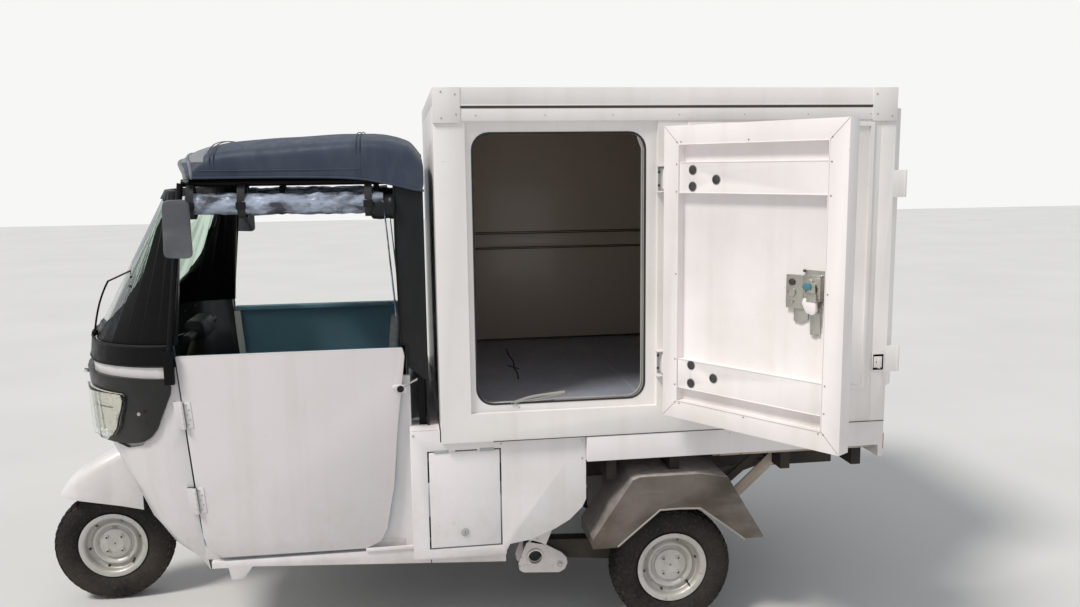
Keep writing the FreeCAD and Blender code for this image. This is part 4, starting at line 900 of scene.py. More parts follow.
    def side_plate(self, name: str, side: int, reach: tuple[float, float], outline: Outline,
                   bevel: float, finish: str) -> None:
        """A finished plate whose outline is seen from the side.

        Args:
            name: The plate's name.
            side: 1 for the left side, -1 for the right.
            reach: How far out its inner and its outer face are, in millimetres.
            outline: Its outline as y and z.
            bevel: Edge rounding in millimetres.
            finish: Its finish.
        """
        low, high = sorted((side * reach[0], side * reach[1]))
        self.plate(name, side_view(low, outline), at(high - low, 0, 0), bevel, finish)

    def rod(self, name: str, points: Sequence[Vector], radius: float, finish: str, body: str = "root",
            closed: bool = False, smooth: bool = False) -> None:
        """A finished tube.

        Args:
            name: The tube's name.
            points: Places along it in metres.
            radius: Radius in millimetres.
            finish: Its finish.
            body: The body that carries it.
            closed: Whether it runs round.
            smooth: Whether it is rounded between the points.
        """
        self.finish(self.tube(name, points, radius, closed, smooth), finish, body)

    def ruffle(self, sheet: bpy.types.Object, name: str, size: float, strength: float) -> None:
        """Ripples a sheet with a cloud pattern.

        Args:
            sheet: The sheet.
            name: The pattern's name.
            size: The size of its clouds in metres.
            strength: How far it moves the sheet, in metres.
        """
        clouds = bpy.data.textures.new(name, "CLOUDS")
        clouds.noise_scale = size
        self.modify(sheet, "DISPLACE", texture=clouds, strength=strength, mid_level=0.5,
                    texture_coords="LOCAL")


@dataclass
class Studio:
    """The camera at the photograph's angle, soft light, and a pale floor."""

    focal_pixels: float = 933.98
    place: Point = (4.0419, 1.2509, 1.8056)
    yaw: float = -0.1462
    pitch: float = 0.1455
    roll: float = -0.0123
    sky: float = 0.56
    sun: float = 2.4

    def build(self) -> None:
        """Builds camera, light and floor."""
        self.set_camera()
        self.light()
        self.floor()

    def set_camera(self) -> None:
        """Turns the camera from the fitted angles."""
        base = Matrix(((0, 1, 0), (0, 0, -1), (-1, 0, 0)))
        yaw = Matrix.Rotation(self.yaw, 3, "Y")
        pitch = Matrix.Rotation(self.pitch, 3, "X")
        roll = Matrix.Rotation(self.roll, 3, "Z")
        rows = roll @ pitch @ yaw @ base
        data = bpy.data.cameras.new("camera")
        camera = bpy.data.objects.new("camera", data)
        bpy.context.scene.collection.objects.link(camera)
        turned = Matrix((rows[0], -rows[1], -rows[2])).transposed().to_4x4()
        camera.matrix_world = Matrix.Translation(self.place) @ turned
        data.sensor_width = 36
        data.lens = self.focal_pixels / 1080 * data.sensor_width
        bpy.context.scene.camera = camera
        bpy.context.scene.view_settings.view_transform = "Standard"

    def light(self) -> None:
        """A pale sky seen white, and one soft key from the upper left front."""
        world = bpy.data.worlds.new("sky")
        bpy.context.scene.world = world
        world.use_nodes = True
        tree = world.node_tree
        tree.nodes.clear()
        path, clear, lit, shown, mix, out = (tree.nodes.new("ShaderNode" + kind) for kind in (
            "LightPath", "Math", "Background", "Background", "MixShader", "OutputWorld"))
        clear.operation = "MAXIMUM"
        lit.inputs[0].default_value = (0.93, 0.96, 1.0, 1)
        lit.inputs[1].default_value = self.sky
        shown.inputs[0].default_value = (0.93, 0.93, 0.92, 1)
        for start, end in (
                (path.outputs["Is Camera Ray"], clear.inputs[0]),
                (path.outputs["Is Transmission Ray"], clear.inputs[1]),
                (clear.outputs[0], mix.inputs[0]), (lit.outputs[0], mix.inputs[1]),
                (shown.outputs[0], mix.inputs[2]), (mix.outputs[0], out.inputs[0])):
            tree.links.new(start, end)
        sun = bpy.data.lights.new("key", "SUN")
        sun.energy = self.sun
        sun.angle = math.radians(14)
        sun.color = (1.0, 0.96, 0.9)
        lamp = bpy.data.objects.new("key", sun)
        bpy.context.scene.collection.objects.link(lamp)
        lamp.rotation_euler = Vector((0.34, -0.60, 0.95)).to_track_quat("Z", "Y").to_euler()

    def floor(self) -> None:
        """A pale floor that takes the shadow."""
        bpy.ops.object.select_all(action="DESELECT")
        bpy.ops.mesh.primitive_plane_add(size=60, location=(0, 2, 0))
        floor = bpy.context.object
        floor.name = "floor"
        board = NodeBoard("floor")
        cloud = board.span(board.noise(0.7, 4), 0.3, 0.7)
        board.put("Base Color", board.mix(cloud, (0.62, 0.62, 0.61), (0.66, 0.66, 0.65)))
        board.put("Roughness", 0.85)
        floor.data.materials.append(board.material)


def nose_reach(height: float) -> float:
    """How far the cowl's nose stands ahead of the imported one.

    Args:
        height: The height in millimetres.

    Returns:
        The distance in millimetres.
    """
    steps = ((690, 0), (780, 2), (829, 8), (900, 22), (1078, 24), (1117, 18), (1195, 0))
    for (low, near), (high, far) in zip(steps, steps[1:]):
        if low <= height <= high:
            return near + (far - near) * (height - low) / (high - low)
    return 0.0


def nose_share(y: float) -> float:
    """How much of the nose's reach a place takes, by its y in millimetres."""
    return max(0.0, min(1.0, (250 - y) / 150))


@dataclass
class Shell:
    """The pieces whose packed form is right, with rounded edges and their finishes."""

    bench: Bench
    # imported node, finish, body, edge rounding in millimetres
    table: tuple[tuple[str, str, str, float], ...] = (
        ("cab_cowl", "cab_enamel", "root", 3),
        ("windscreen_frame", "satin_black", "root", 3),
        ("windscreen_glass", "screen_pane", "root", 0),
        ("cab_floor", "body_enamel", "root", 2),
        ("rear_bulkhead", "body_enamel", "root", 2),
        ("steering_column", "under_black", "steering", 3),
        ("handlebar", "cab_moulding", "steering", 3),
        ("front_mudguard", "body_enamel", "steering", 1.5),
        ("cab_door_left", "door_enamel", "left_cab_door", 2),
        ("cab_door_right", "door_enamel", "right_cab_door", 2),
        ("cab_roof_frame", "satin_black", "root", 1.5),
        ("seat_base", "cab_moulding", "root", 4),
        ("dashboard", "cab_moulding", "root", 6),
        ("side_panel_left", "body_enamel", "root", 2),
        ("side_panel_right", "body_enamel", "root", 2),
        ("hatch_left", "body_enamel", "left_hatch", 1.5),
        ("hatch_right", "body_enamel", "right_hatch", 1.5),
        ("chassis_rails", "under_black", "root", 3),
        ("cross_members", "under_black", "root", 2),
        # The deck beams take chassis black as painted shade of the cavity under the deck.
        ("deck_beams", "under_black", "root", 2),
        ("deck_skirt", "body_enamel", "root", 2),
        ("engine_block", "engine_cast", "root", 12),
        ("trailing_arms", "under_black", "root", 4),
        ("rear_springs", "under_black", "root", 3),
        ("drive_shafts", "under_black", "root", 1),
        ("rear_fenders", "fender_moulding", "root", 5),
        ("box_floor", "load_floor", "root", 1),
        ("box_front_wall", "box_skin", "root", 1),
        ("box_left_wall", "box_skin", "root", 2),
        ("box_right_wall", "box_skin", "root", 2),
        ("box_roof", "box_skin", "root", 2),
        ("box_rear_frame", "box_skin", "root", 2),
        ("rear_door_left", "box_skin", "left_rear_door", 3),
        ("rear_door_right", "box_skin", "right_rear_door", 3),
        ("side_door", "door_panel", "box_side_door", 2),
        ("side_door_latch", "zinc", "box_side_door", 1.5),
        ("side_door_hinges", "hinge_grey", "root", 1),
        ("mirrors", "mirror_shell", "root", 5),
        ("tail_lamps", "lamp_red_lens", "root", 5),
    )

    def build(self) -> None:
        """Copies, reshapes, rounds and dresses each node."""
        moves = {"cab_cowl": self.shape_cowl, "cab_floor": self.lift_sill,
                 "rear_door_left": self.slope_edge, "rear_door_right": self.slope_edge}
        for node, finish, body, bevel in self.table:
            piece = self.bench.node_copy(node, node + "_dressed")
            if node in moves:
                for vertex in piece.data.vertices:
                    vertex.co = moves[node](vertex.co * 1000) / 1000
            if node == "cab_cowl":
                self.mark_inner(piece)
            if bevel:
                self.bench.bevel(piece, bevel)
            self.bench.finish(piece, finish, body, [node], 34)

    def shape_cowl(self, place: Vector) -> Vector:
        """The cowl's fuller nose, and its lower edge, which rises to the front."""
        place.y -= nose_reach(place.z) * nose_share(place.y)
        if place.z < 521:
            place.z += 30 * (521 - place.z) / 221
        return place

    def lift_sill(self, place: Vector) -> Vector:
        """The sill's lower edge, which rises to the front, and the shallow jacking foot."""
        if abs(place.x) < 500 or place.z > 340:
            return place
        if place.z < 250:
            return Vector((place.x, place.y + 58, 306))
        if 520.5 < place.y < 525:
            return Vector((place.x, 578, 353))
        if place.y > 1500:
            return Vector((place.x, place.y, 300))
        if 560 < place.y < 600:
            return Vector((place.x, 664, 352))
        return Vector((place.x, place.y, 354 if place.z < 303 else 356))

    def slope_edge(self, place: Vector) -> Vector:
        """The outer edge of a rear door, which slopes inwards."""
        if place.y > 3140 and 700 < abs(place.x) < 712 and (place.z < 945 or place.z > 2000):
            place.x *= 0.925
        return place

    def mark_inner(self, piece: bpy.types.Object) -> None:
        """Marks the faces that look into the cab."""
        middle = at(0, 800, 900)
        inner = [float(p.normal.dot(p.center - middle) < 0) for p in piece.data.polygons]
        marks = piece.data.attributes.new("inner", "FLOAT", "FACE")
        marks.data.foreach_set("value", inner)


@dataclass
class Wheel:
    """One wheel: a road tyre with a block tread on a split steel rim."""

    bench: Bench
    name: str
    place: Point
    side: int
    blocks: int = 44
    tyre_profile: Outline = (
        (-42, 124), (-42, 141), (-48, 146), (-55, 158), (-59.5, 176), (-60, 190), (-58.5, 203),
        (-55, 214), (-50, 225), (-40, 232), (-20, 234.5), (-18, 229), (-13, 229), (-11, 235), (11, 235),
        (13, 229), (18, 229), (20, 234.5), (40, 232), (50, 225), (55, 214), (58.5, 203), (60, 190),
        (59.5, 176), (55, 158), (48, 146), (42, 141), (42, 124))
    rim_profile: Outline = (
        (24, 0.001), (24, 26), (25.5, 30), (25.5, 34), (24, 38), (24, 56), (22, 62), (13, 66), (12, 69),
        (19, 78), (24, 83), (25, 88), (22, 93), (12, 97), (9, 100), (10, 104), (20, 112), (29, 117),
        (42, 121), (45, 125), (45, 132), (47, 137), (49.5, 139), (50, 137), (48.5, 128), (47, 121),
        (44, 117.5), (30, 113), (-30, 113), (-44, 118), (-47, 126), (-50, 138), (-46, 138), (-43, 126),
        (-41, 122), (-2, 117), (-2, 78), (-40, 78), (-40, 0.001))

    def build(self) -> None:
        """Builds tyre and rim."""
        centre = at(*self.place)
        body = self.name + "_wheel"
        self.build_tyre(centre, body)
        self.build_rim(centre, body)

    def build_tyre(self, centre: Vector, body: str) -> None:
        """A turned carcass with side ribs and five rows of blocks."""
        bench = self.bench
        carcass = bench.lathe(self.name + "_tyre_tread", self.tyre_profile, centre, 1, 88)
        block = bench.brick("block", (-10, -11.5, -4), (10, 11.5, 4), 1.6)
        places = []
        # across, radius of the block's middle, lean of its face, slant, start
        rows = ((-43, 229.5, -0.42, 0.25, 0.0), (-30, 234.3, -0.12, -0.3, 0.5),
                (30, 234.3, 0.12, 0.3, 0.0), (43, 229.5, 0.42, -0.25, 0.5), (0, 236, 0.0, 0.5, 0.25))
        for across, radius, lean, slant, start in rows:
            for i in range(self.blocks):
                turn = Matrix.Rotation((i + start) * math.tau / self.blocks, 4, "X")
                shape = Matrix.Rotation(lean, 4, "Y") @ Matrix.Rotation(slant, 4, "Z")
                size = Matrix.Diagonal((0.62 if abs(across) < 40 else 0.8, 1, 1, 1))
                spot = Matrix.Translation(at(across, 0, radius))
                places.append(Matrix.Translation(centre) @ turn @ spot @ shape @ size)
        blocks = bench.copies(block, places)
        tyre = bench.join([carcass, blocks])
        bench.finish(tyre, "tyre_black", body, [self.name + "_tyre"], 40)

    def build_rim(self, centre: Vector, body: str) -> None:
        """A turned rim with its nuts, ring bolts, valve and hub cap."""
        bench = self.bench
        name = self.name
        rim = bench.lathe(name + "_rim_steel", self.rim_profile, centre, self.side, 72)
        bench.finish(rim, "rim_enamel", body, [name + "_rim"], 40)
        face = Vector((self.side, 0, 0))
        nuts = [centre + at(self.side * 25, y, z) for y in (-30, 30) for z in (-30, 30)]
        bench.heads(name + "_nuts", nuts, face, 9.5, 8, "rim_enamel", body, 6)
        studs = [n + face * 0.004 for n in nuts]
        bench.heads(name + "_studs", studs, face, 4.2, 8, "dark_steel", body)
        turns = [(i + 0.3) * math.tau / 6 for i in range(6)]
        bolts = [centre + at(self.side * 11, 107 * math.sin(turn), 107 * math.cos(turn)) for turn in turns]
        bench.heads(name + "_ring_bolts", bolts, face, 6.5, 8, "dark_steel", body, 6)
        bench.heads(name + "_hub_pin", [centre + face * 0.0245], face, 3, 2.5, "dark_steel", body, 12)
        stem = [centre + at(self.side * x, y, z) for x, y, z in (
            (12, 70, -78), (30, 73, -82), (46, 71, -80))]
        bench.rod(name + "_valve", stem, 3.2, "seal_rubber", body, smooth=True)


@dataclass
class CabFront:
    """Lamps, surround, scuttle, wiper and the fittings of the cab's nose."""

    bench: Bench
    # height, nose y, corner x, corner y, side x of the cab front
    levels: tuple[tuple[float, float, float, float, float], ...] = (
        (671, 150, 450, 209, 630), (807, 80, 450, 158, 630), (1190, 22, 420, 112, 622))
    # the side view of the lamp surround, and of the lens that it frames, as y and z
    surround: Outline = (
        (-90, 1078), (394, 1074), (409, 1068), (418, 1056), (420, 1040), (416, 1018), (359, 890),
        (338, 862), (312, 844), (285, 836), (240, 829), (-90, 829))
    lens: Outline = (
        (-90, 1030), (236, 1016), (245, 1008), (244, 996), (222, 915), (208, 880), (196, 862),
        (176, 850), (-90, 842))
    lens_inner_x: float = 372
    black_above: float = 1117
    # the y and the height of the foot and of the top of the edge beside the door gap
    gap_foot: tuple[float, float] = (493, 476)
    gap_top: tuple[float, float] = (437, 1152)
    forward: float = 26
    smooth_to: float = 42

    def build(self) -> None:
        """Builds the nose's fittings."""
        self.band()
        self.lamps()
        self.wipers()
        self.small_fittings()

    def level(self, height: float, proud: float, forward: float) -> list[Vector]:
        """A level line round the cab front, from the left door gap to the right one.

        Args:
            height: The line's height.
            proud: How far it stands off the cowl.
            forward: How much further its nose is drawn forward, 0 for as much as the cowl.

        Returns:
            The line's points in metres.
        """
        pairs = zip(self.levels, self.levels[1:])
        low, high = [(a, b) for a, b in pairs if a[0] <= height <= b[0]][0]
        share = (height - low[0]) / (high[0] - low[0])
        nose, corner_x, corner_y, side_x = (a + (b - a) * share for a, b in zip(low[1:], high[1:]))
        (foot_y, foot), (top_y, top) = self.gap_foot, self.gap_top
        rear = foot_y + (top_y - foot_y) * (height - foot) / (top - foot)
        side = complex(side_x + proud, rear)
        corner = complex(corner_x + 0.8 * proud, corner_y - 0.8 * proud)
        bend = complex(corner.real + 0.7 * (side.real - corner.real),
                       corner.imag + 0.36 * (rear - corner.imag))
        line = self.arc(side, bend, corner, 12)
        line += self.arc(corner, complex(0, nose - proud), complex(-corner.real, corner.imag), 8)[1:-1]
        line += [complex(-p.real, p.imag) for p in reversed(line[:13])]
        chin = 16 * max(0.0, min(1.0, (1030 - height) / 180))
        reach = forward + chin if forward else nose_reach(height)
        drawn = [p - 1j * reach * nose_share(p.imag) for p in line]
        return [at(p.real, p.imag, height) for p in drawn]

    def arc(self, start: complex, middle: complex, end: complex, steps: int) -> list[complex]:
        """Points on the arc through three places of a level line.

        Args:
            start: The first place.
            middle: A place between.
            end: The last place.
            steps: How many chords.

        Returns:
            The points, first and last among them.
        """
        ratio = (end - start) / (middle - start)
        centre = start + (middle - start) * (ratio - abs(ratio) ** 2) / (2j * ratio.imag)
        spread = (end - centre) / (start - centre)
        sweep = math.atan2(spread.imag, spread.real)
        turns = [sweep * i / steps for i in range(steps + 1)]
        return [centre + (start - centre) * complex(math.cos(turn), math.sin(turn)) for turn in turns]

    def skin(self, name: str, heights: Sequence[float], proud: float, thick: float, forward: float,
             outline: Outline = ()) -> bpy.types.Object:
        """A shell that lies on the cab front, trimmed to an outline seen from the side.

        Args:
            name: The shell's name.
            heights: The heights of its level lines.
            proud: How far it stands off the cowl.
            thick: How thick it is, inwards.
            forward: How much further its nose is drawn forward.
            outline: Its convex outline as y and z, clockwise from the top front.

        Returns:
            The shell.
        """
        bench = self.bench
        lines = [bench.trace("level", self.level(height, proud, forward), False) for height in heights]
        shell = bench.join(lines)
        shell.name = name
        with bench.editing(shell):
            bpy.ops.mesh.bridge_edge_loops(type="SINGLE", number_cuts=0)
            for here, there in zip(outline, outline[1:]):
                bpy.ops.mesh.select_all(action="SELECT")
                out = Vector((0, here[1] - there[1], there[0] - here[0])).normalized()
                bpy.ops.mesh.bisect(plane_co=at(0, *here), plane_no=out, clear_outer=True)
            bpy.ops.mesh.select_all(action="SELECT")
            bpy.ops.mesh.remove_doubles(threshold=0.0001)
        self.face_out(shell)
        return bench.modify(shell, "SOLIDIFY", thickness=thick / 1000, offset=-1) if thick else shell

    def face_out(self, shell: bpy.types.Object) -> None:
        """Turns an open shell so that its faces look away from the cab."""
        middle = at(0, 700, 950)
        outward = sum(p.normal.dot(p.center - middle) * p.area for p in shell.data.polygons)
        if outward < 0:
            with self.bench.editing(shell):
                bpy.ops.mesh.flip_normals()

    def spot(self, side: int, height: float, proud: float, step: int) -> Vector:
        """One place of a level line that is drawn forward with the lamps.

        Args:
            side: 1 for the left side, -1 for the right.
            height: The line's height.
            proud: How far it stands off the cowl.
            step: Which point of the line.

        Returns:
            The place in metres.
        """
        point = self.level(height, proud, self.forward)[step]
        return Vector((side * point.x, point.y, point.z))

    def band(self) -> None:
        """The moulded surround of the lamps and the black scuttle above it."""
        bench = self.bench
        heights = (1084, 1062, 1030, 990, 950, 910, 880, 855, 824)
        surround = self.skin("lamp_surround_dressed", heights, 13, 24, self.forward, self.surround)
        bench.bevel(surround, 5, 3)
        bench.finish(surround, "lamp_moulding", "root", ["lamp_surround"], self.smooth_to)
        scuttle = self.skin("scuttle_skin", (1189.8, 1160, 1140, self.black_above), 2.4, 3.2, 0)
        bench.finish(scuttle, "satin_black", angle=self.smooth_to)
        bench.rod("scuttle_lip", self.level(self.black_above, 3.4, 0), 2.6, "cab_moulding")
        bench.rod("scuttle_bead", self.level(1189.5, -1, 0), 5.5, "cab_moulding")

    def lamps(self) -> None:
        """Clear lenses over a bright bowl with ribs, a parting line and a bulb cup."""
        for side, name in SIDES:
            bowl = self.lamp_skin("lamp_bowl_" + name, side, 14.5)
            self.bench.modify(bowl, "SOLIDIFY", thickness=0.003, offset=-1)
            self.bench.finish(bowl, "lamp_bowl", angle=self.smooth_to)
            lens = self.lamp_skin("lamp_lens_" + name, side, 25)
            self.swell(lens, side)
            self.bench.modify(lens, "SOLIDIFY", thickness=0.009, offset=-1)
            self.bench.bevel(lens, 3, 2)
            self.bench.finish(lens, "lens_clear", "root", ["headlamps"] if side > 0 else (), 45)
            self.flutes(side, name)

    def lamp_skin(self, name: str, side: int, proud: float) -> bpy.types.Object:
        """An open skin over one lamp.

        Args:
            name: The skin's name.
            side: 1 for the left side, -1 for the right.
            proud: How far it stands off the cowl.

        Returns:
            The skin.
        """
        heights = (1036, 1010, 985, 960, 935, 910, 885, 862, 838)
        shell = self.skin(name, heights, proud, 0, self.forward, self.lens)
        with self.bench.editing(shell):
            bpy.ops.mesh.bisect(plane_co=at(side * self.lens_inner_x, 0, 0), plane_no=(-side, 0, 0),
                                clear_outer=True)
        return shell

    def swell(self, lens: bpy.types.Object, side: int) -> None:
        """Bulges a lens a little at its middle."""
        middle = at(side * 500, 150, 932)
        out = Vector((side * 0.6, -0.8, 0))
        reach, rise = 0.15, 0.007
        for vertex in lens.data.vertices:
            near = max(0.0, 1 - (vertex.co - middle).length / reach)
            vertex.co += out * rise * near

    def flutes(self, side: int, name: str) -> None:
        """The moulded ribs, the parting line and the bulb cup in the bowl."""
        bench = self.bench
        for number, step in enumerate((10, 11, 12)):
            rib = [self.spot(side, height, 17, step) for height in (1018, 980, 940, 900, 862)]
            bench.rod("lamp_rib_%s_%d" % (name, number), rib, 2.6, "chrome", smooth=True)
        line = [self.spot(side, 962, 16, step) for step in range(8, 12)]
        bench.rod("lamp_part_line_" + name, line, 1.6, "dark_steel", smooth=True)
        profile = ((0, 22), (5, 21), (8, 17), (4, 12), (2, 8), (2, 0.001), (-2, 0.001), (-3, 22))
        cup = bench.lathe("lamp_cup_" + name, profile, Vector(), 1, 28)
        turn = Vector((side * 0.8, -0.6, 0)).to_track_quat("X", "Z").to_matrix().to_4x4()
        cup.matrix_world = Matrix.Translation(self.spot(side, 876, 13, 10)) @ turn
        bench.finish(cup, "chrome")

    def wipers(self) -> None:
        """The wiper: a pressed arm with its spindle and a rubber blade on the glass."""
        bench = self.bench
        arm = [at(352, 92, 1206), at(352, 98, 1252), at(351, 126, 1352), at(346, 152, 1400)]
        bench.rod("wiper_arm", arm, 3.6, "satin_black", smooth=True)
        blade = [at(346, 150, 1398), at(330, 186, 1414), at(322, 232, 1436), at(318, 262, 1442)]
        bench.rod("wiper_blade", blade, 3.4, "seal_rubber", smooth=True)
        bench.heads("wiper_spindle", arm[:1], Vector((0, -1, 0.5)), 13, 10, "satin_black", sides=16)

    def small_fittings(self) -> None:
        """Surround screws, the bright studs beside the lamps, and a plate with nothing on it."""
        bench = self.bench
        for side, name in SIDES:
            face = Vector((side, -0.15, 0)).normalized()
            screw = [at(side * 635, 306, 952)]
            bench.heads("surround_screw_" + name, screw, face, 7, 4, "zinc", sides=16)
            nub = self.spot(side, 1058, 12, 13)
            bench.rod("nose_stud_" + name, [nub, nub + at(side * 6, -16, 3)], 8, "chrome")
        bench.block("number_plate_front", (-150, 30, 742), (150, 33, 802), 1, "body_enamel")
        for number, x in enumerate((-120, 120)):
            name = "number_plate_stay_%d" % number
            bench.block(name, (x - 10, 32, 752), (x + 10, 116, 758), 1, "under_black")


@dataclass
class CabDoor:
    """The fittings of one cab door: hinges, stop, folded top, knob and lever."""

    bench: Bench
    side: int
    name: str
    body: str
    foot: float = 476
    foot_y: float = 497
    lean: float = (441 - 497) / (1152 - 476)

    def along(self, height: float) -> float:
        """Where the door's front edge lies at a height."""
        return self.foot_y + self.lean * (height - self.foot)

    def build(self) -> None:
        """Builds the door's fittings."""
        bench = self.bench
        side = self.side
        for number, height in enumerate((940, 620)):
            self.hinge("%s_%d" % (self.name, number), height)
        low, high = self.along(416) - 8, self.along(1130) - 8
        stop = ((low, 379), (low, 416), (high, 1130), (self.along(1130) + 22, 1130),
                (self.along(440) + 22, 440), (540, 412), (1226, 412), (1226, 379))
        bench.side_plate("door_stop_" + self.name, side, (598, 606), stop, 1, "cab_enamel")
        fold = side_view(side * 631, ((444, 1151), (840, 1151.5), (1236, 1151)))
        bench.rod("door_top_fold_" + self.name, fold, 3.4, "door_enamel", self.body)
        knob = [at(side * 650, 1228, 1003)]
        bench.heads("door_knob_" + self.name, knob, Vector((side, 0, 0)), 13, 9, "cab_moulding",
                    self.body, 20)
        lever = [at(side * x, y, z) for x, y, z in (
            (640, 1226, 1000), (652, 1226, 1002), (654, 1290, 1036), (648, 1290, 1030))]
        bench.plate("door_lever_" + self.name, lever, at(0, 2, 8), 1, "zinc", self.body)

    def hinge(self, name: str, height: float) -> None:
        """One hinge: a leaf with five screws, and the rings of its pin.

        Args:
            name: The hinge's name.
            height: The height of its middle.
        """
        bench = self.bench
        side = self.side
        leaf = [at(side * 634, self.along(height + rise) + back, height + rise)
                for rise, back in ((-48, 4), (-48, 27), (48, 27), (48, 4))]
        bench.plate("door_hinge_leaf_" + name, leaf, at(side * 2, 0, 0), 0.6, "body_enamel", self.body)
        screws = [at(side * 636, self.along(height + rise) + back, height + rise)
                  for rise, back in ((-36, 12), (-18, 19), (0, 12), (18, 19), (36, 12))]
        bench.heads("door_hinge_screws_" + name, screws, Vector((side, 0, 0)), 3.4, 1.4, "zinc", self.body)
        rings = [at(side * 641.3, self.along(height + rise) - 3, height + rise)
                 for rise in (-30, -10, 10, 30)]
        bench.heads("door_hinge_rings_" + name, rings, Vector((0, self.lean, 1)), 7.6, 0.8, "zinc",
                    "root", 20)


@dataclass
class Canopy:
    """The canopy of coated cloth with its visor, piping and seams."""

    bench: Bench
    half: float = 624
    foot: float = 1779
    # of each bow: y at the side, y at the middle, shoulder z, crown z, and how far the side
    # hangs below the foot
    bows: tuple[tuple[float, ...], ...] = (
        (512, 400, 1806, 1850, 0), (530, 436, 1830, 1876, 0), (560, 506, 1856, 1900, 0),
        (604, 580, 1880, 1920, 0), (860, 850, 1894, 1938, 0), (1106, 1106, 1916, 1952, 6),
        (1216, 1216, 1908, 1942, 30), (1280, 1280, 1890, 1920, 46), (1300, 1300, 1880, 1908, 52),
        (1336, 1336, 1836, 1860, 56))

    def bow(self, row: Sequence[float]) -> list[Vector]:
        """One bow of the canopy as a line of points from side to side.

        Args:
            row: A row of the table.

        Returns:
            The points in metres.
        """
        side_y, middle_y, shoulder, crown, drop = row
        half = self.half
        foot = self.foot - drop
        right = [(half, foot), (half, (foot + shoulder) / 2 - 12), (half - 1, shoulder - 34),
                 (half - 14, shoulder - 12), (half - 46, shoulder)]
        right += [(half * part, shoulder + (crown - shoulder) * (1 - part * part))
                  for part in (0.76, 0.55, 0.36, 0.18)]
        line = right + [(0, crown)] + [(-x, z) for x, z in reversed(right)]
        return [at(x, side_y + (middle_y - side_y) * (1 - (x / half) ** 2), z) for x, z in line]

    def build(self) -> None:
        """Builds cloth, seams, visor folds, piping and stitching."""
        bench = self.bench
        cloth = bench.join([bench.trace("bow", self.bow(row), False) for row in self.bows])
        cloth.name = "canopy_sheet"
        with bench.editing(cloth):
            bpy.ops.mesh.bridge_edge_loops(type="SINGLE", number_cuts=0)
        with bench.editing(cloth):
            bpy.ops.mesh.remove_doubles(threshold=0.0001)
            bpy.ops.mesh.normals_make_consistent(inside=False)
        bench.modify(cloth, "SUBSURF", levels=2, render_levels=2)
        bench.ruffle(cloth, "ripple", 0.16, 0.012)
        bench.modify(cloth, "SOLIDIFY", thickness=0.003, offset=-1)
        bench.finish(cloth, "canopy_sheet", "root", ["canopy"], 60)
        for number, row in enumerate((self.bows[3], self.bows[5])):
            for offset, edge in ((-7, "front"), (7, "rear")):
                line = [p + at(0, offset, 1.5) for p in self.bow(row)]
                bench.rod("canopy_seam_%d_%s" % (number, edge), line, 1.7, "canopy_sheet", smooth=True)
        for number, radius in enumerate((9, 6)):
            line = [p + at(0, 4, -2) for p in self.bow(self.bows[number])]
            bench.rod("visor_fold_%d" % number, line, radius, "visor_sheet", smooth=True)
        for side, name in SIDES:
            x = side * (self.half + 1)
            hem = [at(x, row[0], self.foot - row[4] + 2) for row in self.bows]
            bench.rod("canopy_piping_" + name, hem, 4.5, "canopy_sheet", smooth=True)
            line = [at(x, row[0], self.foot + 26) for row in self.bows[2:6]]
            bench.rod("canopy_stitch_" + name, line, 2.2, "canopy_sheet", smooth=True)


